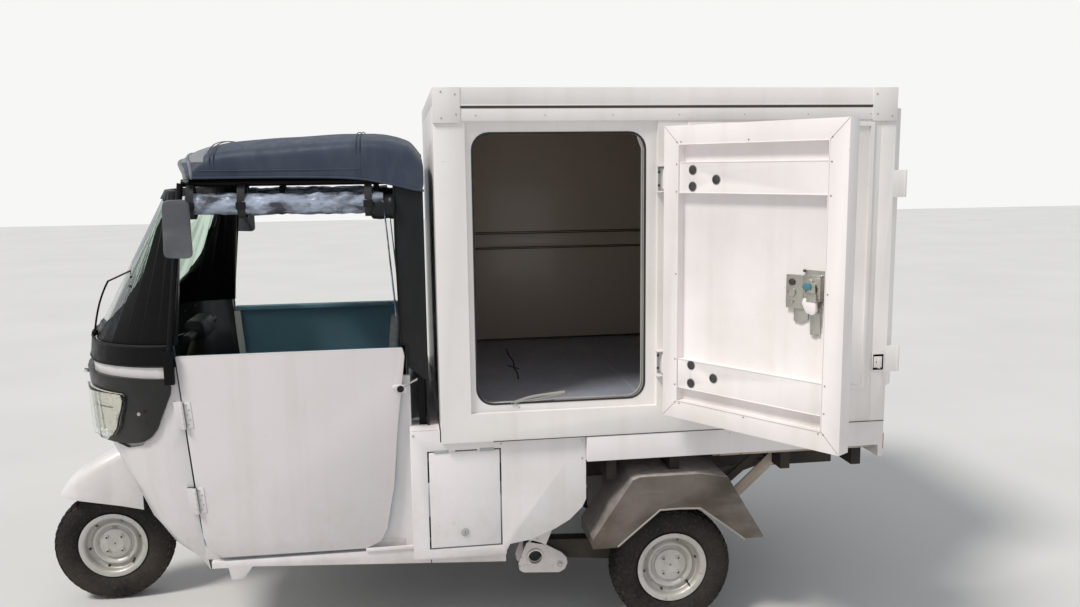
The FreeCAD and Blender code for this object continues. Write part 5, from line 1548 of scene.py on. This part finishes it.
@dataclass
class CabCloth:
    """Rolled side curtains with their straps, the back sheet, and the padded seat."""

    bench: Bench
    roll_low: float = 508
    roll_high: float = 1222
    roll_x: float = 598
    roll_z: float = 1684
    roll_radius: float = 43
    spiral_points: int = 44
    settle_frames: int = 20

    def build(self) -> None:
        """Builds the cab's soft pieces."""
        for side, name in SIDES:
            self.curtain(side, name)
        self.back_sheet()
        self.seat()

    def curtain(self, side: int, name: str) -> None:
        """One rolled curtain: a crumpled spiral of clear sheet held by three straps.

        Args:
            side: 1 for the left side, -1 for the right.
            name: The side's name.
        """
        bench = self.bench
        spiral = []
        last = self.spiral_points - 1
        for i in range(self.spiral_points):
            turn = i * math.tau * 2.3 / last
            reach = self.roll_radius * (0.45 + 0.5 * i / last)
            x = side * (self.roll_x + reach * math.cos(turn))
            spiral.append(at(x, self.roll_low, self.roll_z + reach * math.sin(turn)))
        roll = bench.trace("curtain_roll_" + name, spiral, False)
        bench.push(roll, at(0, self.roll_high - self.roll_low, 0))
        self.cut_along(roll, 44)
        bench.ruffle(roll, "crumple_" + name, 0.045, 0.02)
        front_hold, rear_hold = 690, 1120
        for vertex in roll.data.vertices:
            part = (vertex.co.y * 1000 - front_hold) / (rear_hold - front_hold)
            swell = math.sin(math.pi * part) ** 0.6 if 0 < part < 1 else 0.0
            slump = max(0.0, self.roll_z / 1000 - vertex.co.z)
            vertex.co.z -= 0.010 * swell + 0.7 * swell * slump
        bench.modify(roll, "SOLIDIFY", thickness=0.0008)
        bench.finish(roll, "curtain_film", "root", ["curtain_rolls"] if side > 0 else (), 70)
        self.roll_end(side, name)
        for number, y in enumerate((524, 697, 1137)):
            self.strap("%s_%d" % (name, number), side, y)

    def roll_end(self, side: int, name: str) -> None:
        """The black cloth border, rolled with the curtain's rear end.

        Args:
            side: 1 for the left side, -1 for the right.
            name: The side's name.
        """
        bench = self.bench
        centre = at(side * (self.roll_x - 2), 0, self.roll_z - 14)
        turns = [i * math.tau / 24 for i in range(24)]
        rings = []
        for y, radius in ((1146, 36), (1152, 41), (1180, 43), (1206, 40), (1222, 43), (1228, 38)):
            ring = [at(radius * math.cos(turn), y, 1.08 * radius * math.sin(turn)) for turn in turns]
            rings.append(bench.ring("ring", [centre + p for p in ring]))
        sleeve = bench.join(rings)
        sleeve.name = "curtain_border_" + name
        with bench.editing(sleeve):
            bpy.ops.mesh.bridge_edge_loops(type="SINGLE", number_cuts=2)
            bpy.ops.mesh.normals_make_consistent(inside=False)
        bench.modify(sleeve, "SOLIDIFY", thickness=0.002, offset=-1)
        bench.finish(sleeve, "cab_sheet", angle=60)
        core = [centre + at(0, y, 0) for y in (1150, 1190, 1226)]
        bench.rod("curtain_border_core_" + name, core, 30, "cab_sheet", smooth=True)

    def cut_along(self, roll: bpy.types.Object, cuts: int) -> None:
        """Divides a roll along its length.

        Args:
            roll: The rolled sheet.
            cuts: How many parts it is cut into.
        """
        with self.bench.editing(roll):
            for i in range(1, cuts):
                bpy.ops.mesh.select_all(action="SELECT")
                y = self.roll_low + (self.roll_high - self.roll_low) * i / cuts
                bpy.ops.mesh.bisect(plane_co=at(0, y, 0), plane_no=(0, 1, 0))

    def strap(self, name: str, side: int, y: float) -> None:
        """A flat strap round the roll and over the rail, with its buckle.

        Args:
            name: The strap's name.
            side: 1 for the left side, -1 for the right.
            y: Its place along the cab.
        """
        bench = self.bench
        width, steps = 26, 20
        loop = []
        for i in range(steps):
            turn = i * math.tau / steps
            up = 48 + (26 if math.sin(turn) > 0 else 0) * math.sin(turn)
            x = side * (self.roll_x - 4 + 43 * math.cos(turn))
            loop.append(at(x, y - width / 2, self.roll_z + up * math.sin(turn)))
        strap = bench.ring("curtain_strap_" + name, loop)
        bench.push(strap, at(0, width, 0))
        bench.modify(strap, "SOLIDIFY", thickness=0.0022)
        bench.finish(strap, "strap_web", angle=60)
        bench.block("curtain_buckle_" + name, (side * 636, y - 17, self.roll_z - 14),
                    (side * 642, y + 17, self.roll_z + 12), 2, "cab_moulding")

    def back_sheet(self) -> None:
        """The coated sheet behind the seat, with the hems of its side flaps."""
        bench = self.bench
        sheet = bench.node_copy("cab_back", "cab_back_sheet")
        bench.bevel(sheet, 2.5)
        bench.finish(sheet, "cab_sheet", "root", ["cab_back"], 40)
        for side, name in SIDES:
            hem = side_view(side * 618, (
                (1258, 1080), (1258, 1160), (1235, 1166), (1227, 1500), (1227, 1776)))
            bench.rod("cover_hem_" + name, hem, 3, "cab_sheet")

    def seat(self) -> None:
        """Cushion and back rest, puffed by a short cloth run, with the cushion's channels."""
        bench = self.bench
        cushion = bench.brick("seat_pad", (-534, 824, 716), (534, 1242, 792), 0)
        self.puff(cushion, 0.009)
        bench.finish(cushion, "seat_vinyl", "root", ["seat_cushion"], 60)
        back = bench.brick("seat_back_pad", (-534, 1184, 806), (534, 1242, 1112), 0)
        self.puff(back, 0.008)
        bench.finish(back, "seat_vinyl", "root", ["seat_back"], 60)
        for number, x in enumerate((-356, -178, 0, 178, 356)):
            line = side_view(x, ((838, 798.5), (1030, 799.5), (1170, 799)))
            bench.rod("seat_channel_%d" % number, line, 2.2, "seat_vinyl", smooth=True)

    def puff(self, pad: bpy.types.Object, cap: float) -> None:
        """Swells a pad by cloth pressure, caps how far it moved and smooths it.

        Args:
            pad: The pad's block.
            cap: The furthest a point may move, in metres.
        """
        bench = self.bench
        bench.modify(pad, "REMESH", mode="VOXEL", voxel_size=0.016)
        rest = [v.co.copy() for v in pad.data.vertices]
        bench.pick(pad)
        cloth = pad.modifiers.new("cloth", "CLOTH")
        cloth.settings.use_pressure = True
        cloth.settings.uniform_pressure_force = 4
        cloth.settings.effector_weights.gravity = 0
        cloth.settings.quality = 4
        scene = bpy.context.scene
        for number in range(1, self.settle_frames + 1):
            scene.frame_set(number)
        bpy.ops.object.modifier_apply(modifier=cloth.name)
        scene.frame_set(1)
        for vertex, place in zip(pad.data.vertices, rest):
            move = vertex.co - place
            if move.length > cap:
                vertex.co = place + move.normalized() * cap
        bench.modify(pad, "SUBSURF", levels=1, render_levels=1)


@dataclass
class CargoBox:
    """The fittings of the insulated box: seals, rails, rivets, hinge plates and linings."""

    bench: Bench
    # name, finish, edge rounding, and the near front foot and far rear top corners of the
    # pieces that lie on both sides; x is how far out they are
    side_blocks: BlockTable = (
        ("rail_slot_", "dark_steel", 0.3, (724.4, 1468, 2009), (727.6, 2997, 2018)),
        ("rail_lip_", "box_skin", 0.8, (726, 1468, 2018), (729.5, 2997, 2022)),
        ("deck_seam_", "dark_steel", 0.2, (722.6, 1560, 804.5), (724, 3094, 807.5)),
        ("hold_back_pad_", "box_skin", 1.5, (723, 3034, 1009), (727, 3082, 1078)),
        ("hold_back_", "box_skin", 1.5, (726.5, 3040, 1020), (730.4, 3074, 1064)),
    )
    # the same for the pieces inside the load space
    inner_blocks: BlockTable = (
        ("rub_board", "box_skin", 2, (-665, 1430, 1404), (-659, 3034, 1470)),
        ("wall_foot", "dark_steel", 1, (-665, 1430, 925), (-660, 3034, 934)),
        ("floor_joint_0", "load_floor", 0.6, (-660, 2140, 924), (660, 2166, 925.6)),
        ("floor_joint_1", "load_floor", 0.6, (-660, 2860, 924), (660, 2886, 925.6)),
        ("load_lamp", "curtain_film", 5, (-60, 2100, 2004), (60, 2340, 2021.5)),
    )

    def build(self) -> None:
        """Builds the box's fittings."""
        for side, name in SIDES:
            self.side_fittings(side, name)
        self.doorway_seal()
        self.hinge_plates()
        self.load_lining()

    def side_fittings(self, side: int, name: str) -> None:
        """Rivets on the corner caps and the edge rail, the rail, the deck seam and the hold-back.

        Args:
            side: 1 for the left side, -1 for the right.
            name: The side's name.
        """
        bench = self.bench
        out = Vector((side, 0, 0))
        caps = side_view(side * 730, (
            (1449, 2057), (1452, 1988), (1400, 2066), (1400, 1976), (3012, 2057), (3016, 1984),
            (3074, 1976)))
        bench.heads("cap_rivets_" + name, caps, out, 3.6, 1.4, "zinc")
        rail = [at(side * 727, 1520 + i * 245, 1985) for i in range(7)]
        bench.heads("rail_rivets_" + name, rail, out, 2.6, 0.9, "zinc")
        bench.side_blocks(side, name, self.side_blocks)
        hole = bench.drum("hold_back_hole_" + name, at(side * 730.4, 3056, 1042), out, 7.5, 1, 16, 0)
        bench.finish(hole, "seal_rubber")

    def round_frame(self, x: float, low: tuple[float, float], high: tuple[float, float],
                    corner: float) -> list[Vector]:
        """A round-cornered rectangle on the side of the box, with six chords in a corner.

        Args:
            x: Its place across.
            low: Front and lower edge.
            high: Rear and upper edge.
            corner: The corner radius.

        Returns:
            Its points in metres, from the rear top corner over the front to the rear foot.
        """
        points = []
        corners = (high, (low[0], high[1]), low, (high[0], low[1]))
        for quarter, (y, z) in enumerate(corners):
            middle_y = y + (-corner if y == high[0] else corner)
            middle_z = z + (-corner if z == high[1] else corner)
            for i in range(7):
                turn = (quarter + i / 6) * math.pi / 2
                points.append(at(x, middle_y + corner * math.cos(turn), middle_z + corner * math.sin(turn)))
        return points

    def doorway_seal(self) -> None:
        """The black edge trim, the grey bulb seal up the rear side, and its torn loose end."""
        bench = self.bench
        edge = self.round_frame(707, (1505, 943), (2134, 1925), 60)
        bench.rod("doorway_edge", edge, 4, "seal_rubber", closed=True)
        # A thick black rod on the front side of the opening only: painted shade in the reveal.
        reveal = self.round_frame(700, (1502, 944), (2134, 1925), 60)[7:17]
        bench.rod("doorway_reveal", reveal, 7, "seal_rubber")
        rear = self.round_frame(703, (1500, 948), (2128, 1920), 56)[21:]
        bulb = [at(703, 1789, 948), *rear, at(703, 2128, 1500), at(703, 2128, 1862), at(703, 2112, 1904)]
        bench.rod("bulb_seal", bulb, 6, "seal_grey")
        bench.rod("bulb_seal_lip", [p + at(5, -7, 5) for p in bulb[:12]], 3.2, "seal_grey")
        loose = [at(712, 1640, 946), at(700, 1672, 953), at(696, 1712, 962), at(690, 1770, 966),
                 at(688, 1834, 971)]
        bench.rod("loose_seal", loose, 6.5, "seal_grey", smooth=True)
        tail = [at(714, 1628, 948), at(705, 1690, 950), at(698, 1752, 955), at(692, 1822, 966)]
        bench.rod("loose_seal_lip", tail, 3, "seal_grey", smooth=True)
        bench.heads("sill_rivet", [at(724, 1658, 930)], Vector((1, 0, 0)), 3.2, 1.2, "zinc")

    def hinge_plates(self) -> None:
        """The grey plates and white ears of the side door's hinges, on the wall."""
        bench = self.bench
        for number, z in enumerate((1080, 1757)):
            name = "hinge_plate_%d" % number
            bench.block(name, (722.5, 2177, z - 44), (725.4, 2186.5, z + 44), 0.5, "hinge_grey")
            for rise, end in ((-46, "foot"), (46, "top")):
                bench.block("hinge_ear_%d_%s" % (number, end), (722.5, 2168, z + rise - 2.5),
                            (764, 2212, z + rise + 2.5), 1, "box_skin")
            bolts = [at(725.3, 2181, z + rise) for rise in (-24, 24)]
            bench.heads("hinge_bolts_%d" % number, bolts, Vector((1, 0, 0)), 5, 0.5, "dark_steel", sides=12)

    def load_lining(self) -> None:
        """The rub board on the far wall with its double lines, the floor's joints and a crack."""
        bench = self.bench
        for name, finish, bevel, low, high in self.inner_blocks:
            bench.block(name, low, high, bevel, finish)
        for number, z in enumerate((1395, 1402, 1472, 1480)):
            bench.block("rub_line_%d" % number, (-665, 1430, z - 1.6), (-656.5, 3034, z + 1.6), 0.4,
                        "dark_steel")
        floor = 925.2
        crack = ((-423, 1738), (-250, 1733), (-120, 1738), (20, 1724), (130, 1725), (237, 1716))
        bench.rod("floor_crack", [at(x, y, floor) for x, y in crack], 3.2, "seal_rubber")
        nick = ((-40, 1704), (0, 1722), (40, 1744))
        bench.rod("floor_nick", [at(x, y, floor) for x, y in nick], 2.6, "seal_rubber")


@dataclass
class OpenSideDoor:
    """The fittings of the open side door, placed on the closed door and turned with it."""

    bench: Bench
    pin: Point = (753.5, 2199, 0)
    angle: float = 124.5
    foot: float = 892
    top: float = 1942
    front: float = 1470
    rear: float = 2185
    inner: float = 726
    band: float = 66

    def add(self, piece: bpy.types.Object, finish: str) -> None:
        """Turns a fitting from the closed door to the open one, finishes and hangs it.

        Args:
            piece: A piece placed on the closed door.
            finish: Its finish.
        """
        pin = at(*self.pin)
        swing = Matrix.Rotation(math.radians(self.angle), 4, "Z")
        piece.matrix_world = Matrix.Translation(pin) @ swing @ Matrix.Translation(-pin) @ piece.matrix_world
        self.bench.finish(piece, finish, "box_side_door")

    def door_heads(self, name: str, places: Sequence[Point], radius: float, proud: float, finish: str,
                   sides: int = 10) -> None:
        """Screw or bolt heads that face the closed door's inside.

        Args:
            name: The joined piece's name.
            places: Where they sit, on the closed door in millimetres.
            radius: Radius in millimetres.
            proud: How far they stand out.
            finish: Their finish.
            sides: How many sides a head has.
        """
        spots = [at(*p) for p in places]
        self.add(self.bench.studs(name, spots, Vector((-1, 0, 0)), radius, proud, sides, 0.6), finish)

    def build(self) -> None:
        """Builds screws, bolts, mitres, lips and the latch."""
        bench = self.bench
        inner, band = self.inner, self.band
        low_y, high_y = self.front + band - 9, self.rear - band + 9
        low_z, high_z = self.foot + band - 9, self.top - band + 9
        screws = [(inner, low_y, z) for z in (low_z, 1018, 1108, 1400, 1706, 1810, high_z)]
        screws += [(inner, high_y, z) for z in (low_z, 1016, 1110, 1420, 1712, 1808, high_z)]
        screws += [(inner, 1830, low_z), (inner, 1830, high_z)]
        screws += [(inner, low_y + 18, low_z), (inner, high_y - 18, high_z), (inner, high_y - 20, low_z)]
        self.door_heads("door_screws", screws, 3.0, 1.2, "door_screw")
        bolts = [(inner + 3, self.front + back, self.foot + rise) for back, rise in (
            (589, 896), (589, 839), (489, 863), (587, 205), (587, 139), (489, 172))]
        self.door_heads("plate_washers", bolts, 18, 1.2, "hinge_grey", 22)
        self.door_heads("plate_bolts", bolts, 15.5, 4, "bolt_dark", 20)
        corners = ((self.front, self.foot, 1, 1), (self.rear, self.foot, -1, 1),
                   (self.rear, self.top, -1, -1), (self.front, self.top, 1, -1))
        lip = []
        for number, (y, z, out_y, out_z) in enumerate(corners):
            line = side_view(inner - 0.2, [(y + out_y * far, z + out_z * far) for far in (2, band)])
            self.add(bench.tube("mitre_%d" % number, line, 0.5, smooth=False), "dark_steel")
            lip.append(at(inner - 1, y + out_y * band, z + out_z * band))
        self.add(bench.tube("frame_lip", lip, 2.2, closed=True, smooth=False), "door_panel")
        for number, z in enumerate((1008, 1113, 1709, 1814)):
            edge = side_view(inner + 3.5, ((1537, z), (2118, z)))
            self.add(bench.tube("plate_edge_%d" % number, edge, 2.4, smooth=False), "door_panel")
        self.latch()

    def latch(self) -> None:
        """The latch: base plate, rotor, catch plate, key and hanging white handle."""
        bench = self.bench
        face = self.inner + 32
        along_x = Vector((1, 0, 0))
        self.add(bench.brick("latch_keeper", (face - 13, 1640, 1352), (face - 9, 1688, 1446), 3), "zinc")
        for number, (z, radius) in enumerate(((1428, 11), (1394, 14), (1364, 7))):
            boss = bench.drum("latch_boss_%d" % number, at(face - 16, 1664, z), along_x, radius, 9, 20, 1.5)
            self.add(boss, "zinc" if number else "dark_steel")
        self.add(bench.brick("latch_case", (face - 28, 1556, 1372), (face - 4, 1618, 1456), 4), "zinc")
        rotor = bench.drum("latch_rotor", at(face - 32, 1584, 1412), along_x, 20, 12, 28, 2)
        self.add(rotor, "dark_steel")
        # name, finish, how far in from the face, thickness, edge rounding, side view
        plates = (
            ("latch_foot_plate", "zinc", 8, 5, 1, (
                (1608, 1352), (1660, 1352), (1660, 1300), (1634, 1296), (1608, 1310))),
            ("latch_claw", "zinc", 39, 7, 1.2, (
                (1568, 1430), (1600, 1436), (1606, 1420), (1590, 1412), (1604, 1400), (1592, 1388),
                (1566, 1396))),
            ("latch_key", "latch_tag", 47, 7, 2, (
                (1586, 1432), (1606, 1430), (1610, 1418), (1600, 1408), (1584, 1410), (1578, 1420))),
            ("latch_handle", "door_panel", 44, 16, 4, (
                (1562, 1372), (1606, 1384), (1612, 1366), (1596, 1336), (1572, 1330), (1560, 1344))),
            ("latch_lever", "zinc", 10, 5, 1.2, ((1570, 1340), (1600, 1340), (1598, 1262), (1578, 1258))),
        )
        for name, finish, depth, thick, bevel, outline in plates:
            self.add(bench.slab(name, side_view(face - depth, outline), at(thick, 0, 0), bevel), finish)
        screws = [(face - 6, y, z) for y in (1550, 1626) for z in (1362, 1466)]
        self.door_heads("latch_screws", screws, 4.5, 4, "dark_steel")
        spring = [at(face - 14, 1540, 1398), at(face - 20, 1532, 1392), at(face - 20, 1536, 1378),
                  at(face - 14, 1548, 1372)]
        self.add(bench.tube("latch_spring", spring, 2), "dark_steel")


@dataclass
class RearEnd:
    """Fittings of the rear doors and their frame."""

    bench: Bench

    def build(self) -> None:
        """Builds hinge straps and bolts, seals, lamp frames and a plate with nothing on it."""
        bench = self.bench
        for side, name in SIDES:
            body = name + "_rear_door"
            for number, z in enumerate((1051, 1725)):
                bench.block("rear_strap_%s_%d" % (name, number), (side * 520, 3148, z - 34),
                            (side * 642, 3153, z + 34), 1.5, "zinc", body)
            bolts = [at(side * x, 3153, z) for x in (612, 582, 552) for z in (1028, 1074, 1702, 1748)]
            bench.heads("rear_strap_bolts_" + name, bolts, Vector((0, 1, 0)), 5, 3, "dark_steel", body, 6)
            outline = [at(side * x, 3151, z) for x, z in ((30, 968), (632, 968), (632, 1978), (30, 1978))]
            bench.rod("rear_seal_" + name, outline, 4, "seal_rubber", body, closed=True)
            bench.block("lamp_base_" + name, (side * 494, 3095.3, 662), (side * 666, 3110, 742), 4,
                        "cab_moulding")
            bench.block("lamp_clear_" + name, (side * 548, 3134, 672), (side * 616, 3137, 732), 1,
                        "lens_clear")
        bench.block("number_plate_rear", (-150, 3096, 675), (150, 3099, 735), 1, "body_enamel")


@dataclass
class LowerBody:
    """Fittings of the side panels, hatches, sill and running gear, made for either side."""

    bench: Bench
    # the pivot bracket's side view as y and z
    bracket: Outline = (
        (1704, 318), (1728, 330), (1762, 318), (1846, 268), (1866, 246), (1870, 222), (1858, 196),
        (1836, 184), (1690, 194), (1674, 206), (1670, 232), (1680, 262))
    # name, finish, edge rounding and two corners; x is how far out they are
    blocks: BlockTable = (
        ("sill_ledge_", "body_enamel", 3, (634, 1262, 352), (690, 1606, 366)),
        ("sill_step_", "body_enamel", 2, (634, 1080, 380), (641, 1290, 394)),
        ("sill_joint_", "seal_rubber", 0.2, (600, 1321, 316), (634.6, 1324, 374)),
        ("rear_angle_", "beam_rusty", 2, (600, 2440, 690), (690, 3070, 705)),
    )

    def build(self) -> None:
        """Builds rivets, hatch locks, brackets, struts, spring coils and fender trim."""
        bench = self.bench
        for side, name in SIDES:
            self.panel_fittings(side, name)
            bench.side_blocks(side, name, self.blocks)
            self.pivot(side, name)
            self.struts(side, name)
            self.coil(side, name)
            # A pale rod on the fender's edge: partly a painted highlight on the rounded edge, partly
            # scuffs.
            lip = side_view(side * 721, ((2030, 364), (2110, 430), (2195, 499), (2270, 500), (2354, 496),
                                         (2450, 424), (2538, 356)))
            bench.rod("fender_lip_" + name, lip, 4, "fender_lip")
            clip = ((2372, 500), (2444, 480), (2440, 454), (2410, 446))
            bench.side_plate("fender_clip_" + name, side, (668, 716), clip, 2, "bracket_pale")

    def panel_fittings(self, side: int, name: str) -> None:
        """Rivets of the side panel, and the hinge tabs and lock of its hatch.

        Args:
            side: 1 for the left side, -1 for the right.
            name: The side's name.
        """
        bench = self.bench
        out = Vector((side, 0, 0))
        hatch = name + "_hatch"
        rivets = side_view(side * 700, ((1897, 786), (1897, 716), (1590, 790), (1268, 836)))
        bench.heads("panel_rivets_" + name, rivets, out, 4.5, 1.6, "zinc")
        bench.heads("skirt_rivets_" + name, [at(side * 723, 2466, 789)], out, 3, 1.2, "zinc")
        lock_y, lock_z = 1449, 456
        lock = bench.drum("hatch_lock_" + name, at(side * 702, lock_y, lock_z), out, 15, 8, 28, 2)
        bench.finish(lock, "hinge_grey", hatch)
        core = bench.drum("hatch_lock_core_" + name, at(side * 706, lock_y, lock_z), out, 8, 3, 20, 1)
        bench.finish(core, "zinc", hatch)
        bench.block("lock_slot_" + name, (side * 707, 1448, 450), (side * 708.2, 1450.5, 462), 0.2,
                    "dark_steel", hatch)
        for number, y in enumerate((1342, 1512)):
            bench.block("hatch_tab_%s_%d" % (name, number), (side * 699, y, 765), (side * 702, y + 52, 777),
                        1, "hinge_grey")

    def pivot(self, side: int, name: str) -> None:
        """The trailing arm's bracket: two bored cheeks, bush, bolts and the hanger above.

        Args:
            side: 1 for the left side, -1 for the right.
            name: The side's name.
        """
        bench = self.bench
        out = Vector((side, 0, 0))
        pin_y, pin_z = 1738, 258
        cheeks = []
        for x in (407, 507):
            cheek = bench.slab("pivot_cheek_%s_%d" % (name, x), side_view(side * x, self.bracket),
                               at(side * 9, 0, 0))
            bore = bench.drum("bore", at(side * (x + 4), pin_y, pin_z), out, 27, 60, 36, 0)
            bench.modify(cheek, "BOOLEAN", object=bore, operation="DIFFERENCE")
            bpy.data.objects.remove(bore)
            cheeks.append(bench.bevel(cheek, 2.5))
        profile = ((505, 27), (522, 27), (523, 29), (523, 33), (520, 35), (505, 35))
        rim = bench.lathe("rim", profile, at(0, pin_y, pin_z), side, 36)
        plates = bench.join(cheeks + [rim])
        plates.name = "pivot_plates_" + name
        bench.finish(plates, "bracket_pale", "root", ["pivot_brackets"] if side > 0 else ())
        hanger = ((1712, 316), (1782, 300), (1812, 372), (1822, 470), (1742, 470), (1736, 380))
        bench.side_plate("pivot_hanger_" + name, side, (480, 516), hanger, 5, "bracket_pale")
        bush = bench.drum("pivot_bush_" + name, at(side * 460, pin_y, pin_z), out, 24, 88, 32, 2)
        bench.finish(bush, "seal_rubber")
        washers = side_view(side * 516, ((1838, 219), (1700, 212)))
        bench.heads("pivot_bolts_" + name, washers[:1], out, 13, 11, "zinc", sides=6)
        bench.heads("pivot_washers_" + name, washers, out, 17, 2, "bracket_pale", sides=22)

    def struts(self, side: int, name: str) -> None:
        """The flaking flat struts from the rear beam down behind the fender.

        Args:
            side: 1 for the left side, -1 for the right.
            name: The side's name.
        """
        bench = self.bench
        pale = ((2500, 470), (2536, 446), (2742, 632), (2742, 672), (2716, 672))
        bench.side_plate("strut_pale_" + name, side, (560, 568), pale, 1.5, "beam_rusty")
        dark = side_view(548 if side > 0 else -580, ((2470, 520), (2494, 500), (2700, 672), (2650, 672)))
        bench.plate("strut_dark_" + name, dark, at(8, 0, 0), 1.5, "under_black")
        web = 600 if side > 0 else -690
        bench.block("rear_angle_web_" + name, (web, 2440, 664), (web + 8, 3070, 700), 2, "beam_rusty")

    def coil(self, side: int, name: str) -> None:
        """The coil spring round its damper.

        Args:
            side: 1 for the left side, -1 for the right.
            name: The side's name.
        """
        line = []
        last = 71
        for i in range(last + 1):
            turn = i * math.tau * 5.5 / last
            x = side * 325 + 50 * math.cos(turn)
            line.append(at(x, 2240 + 50 * math.sin(turn), 306 + 208 * i / last))
        self.bench.rod("spring_coil_" + name, line, 6, "under_black", smooth=True)


def main() -> None:
    """Builds the sub-assemblies in order."""
    logging.basicConfig(level=logging.INFO, format="%(name)s %(message)s")
    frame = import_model()
    bench = Bench(frame, Finishes())
    bench.clear()
    Studio().build()
    Shell(bench).build()
    Wheel(bench, "front", (0, 0, 240), 1).build()
    for side, name in SIDES:
        Wheel(bench, "rear_" + name, (side * 620, 2260, 240), side).build()
    CabFront(bench).build()
    for side, name in SIDES:
        CabDoor(bench, side, name, name + "_cab_door").build()
    for assembly in (Canopy, CabCloth, CargoBox, OpenSideDoor, RearEnd, LowerBody):
        assembly(bench).build()


if __name__ == "__main__":
    main()
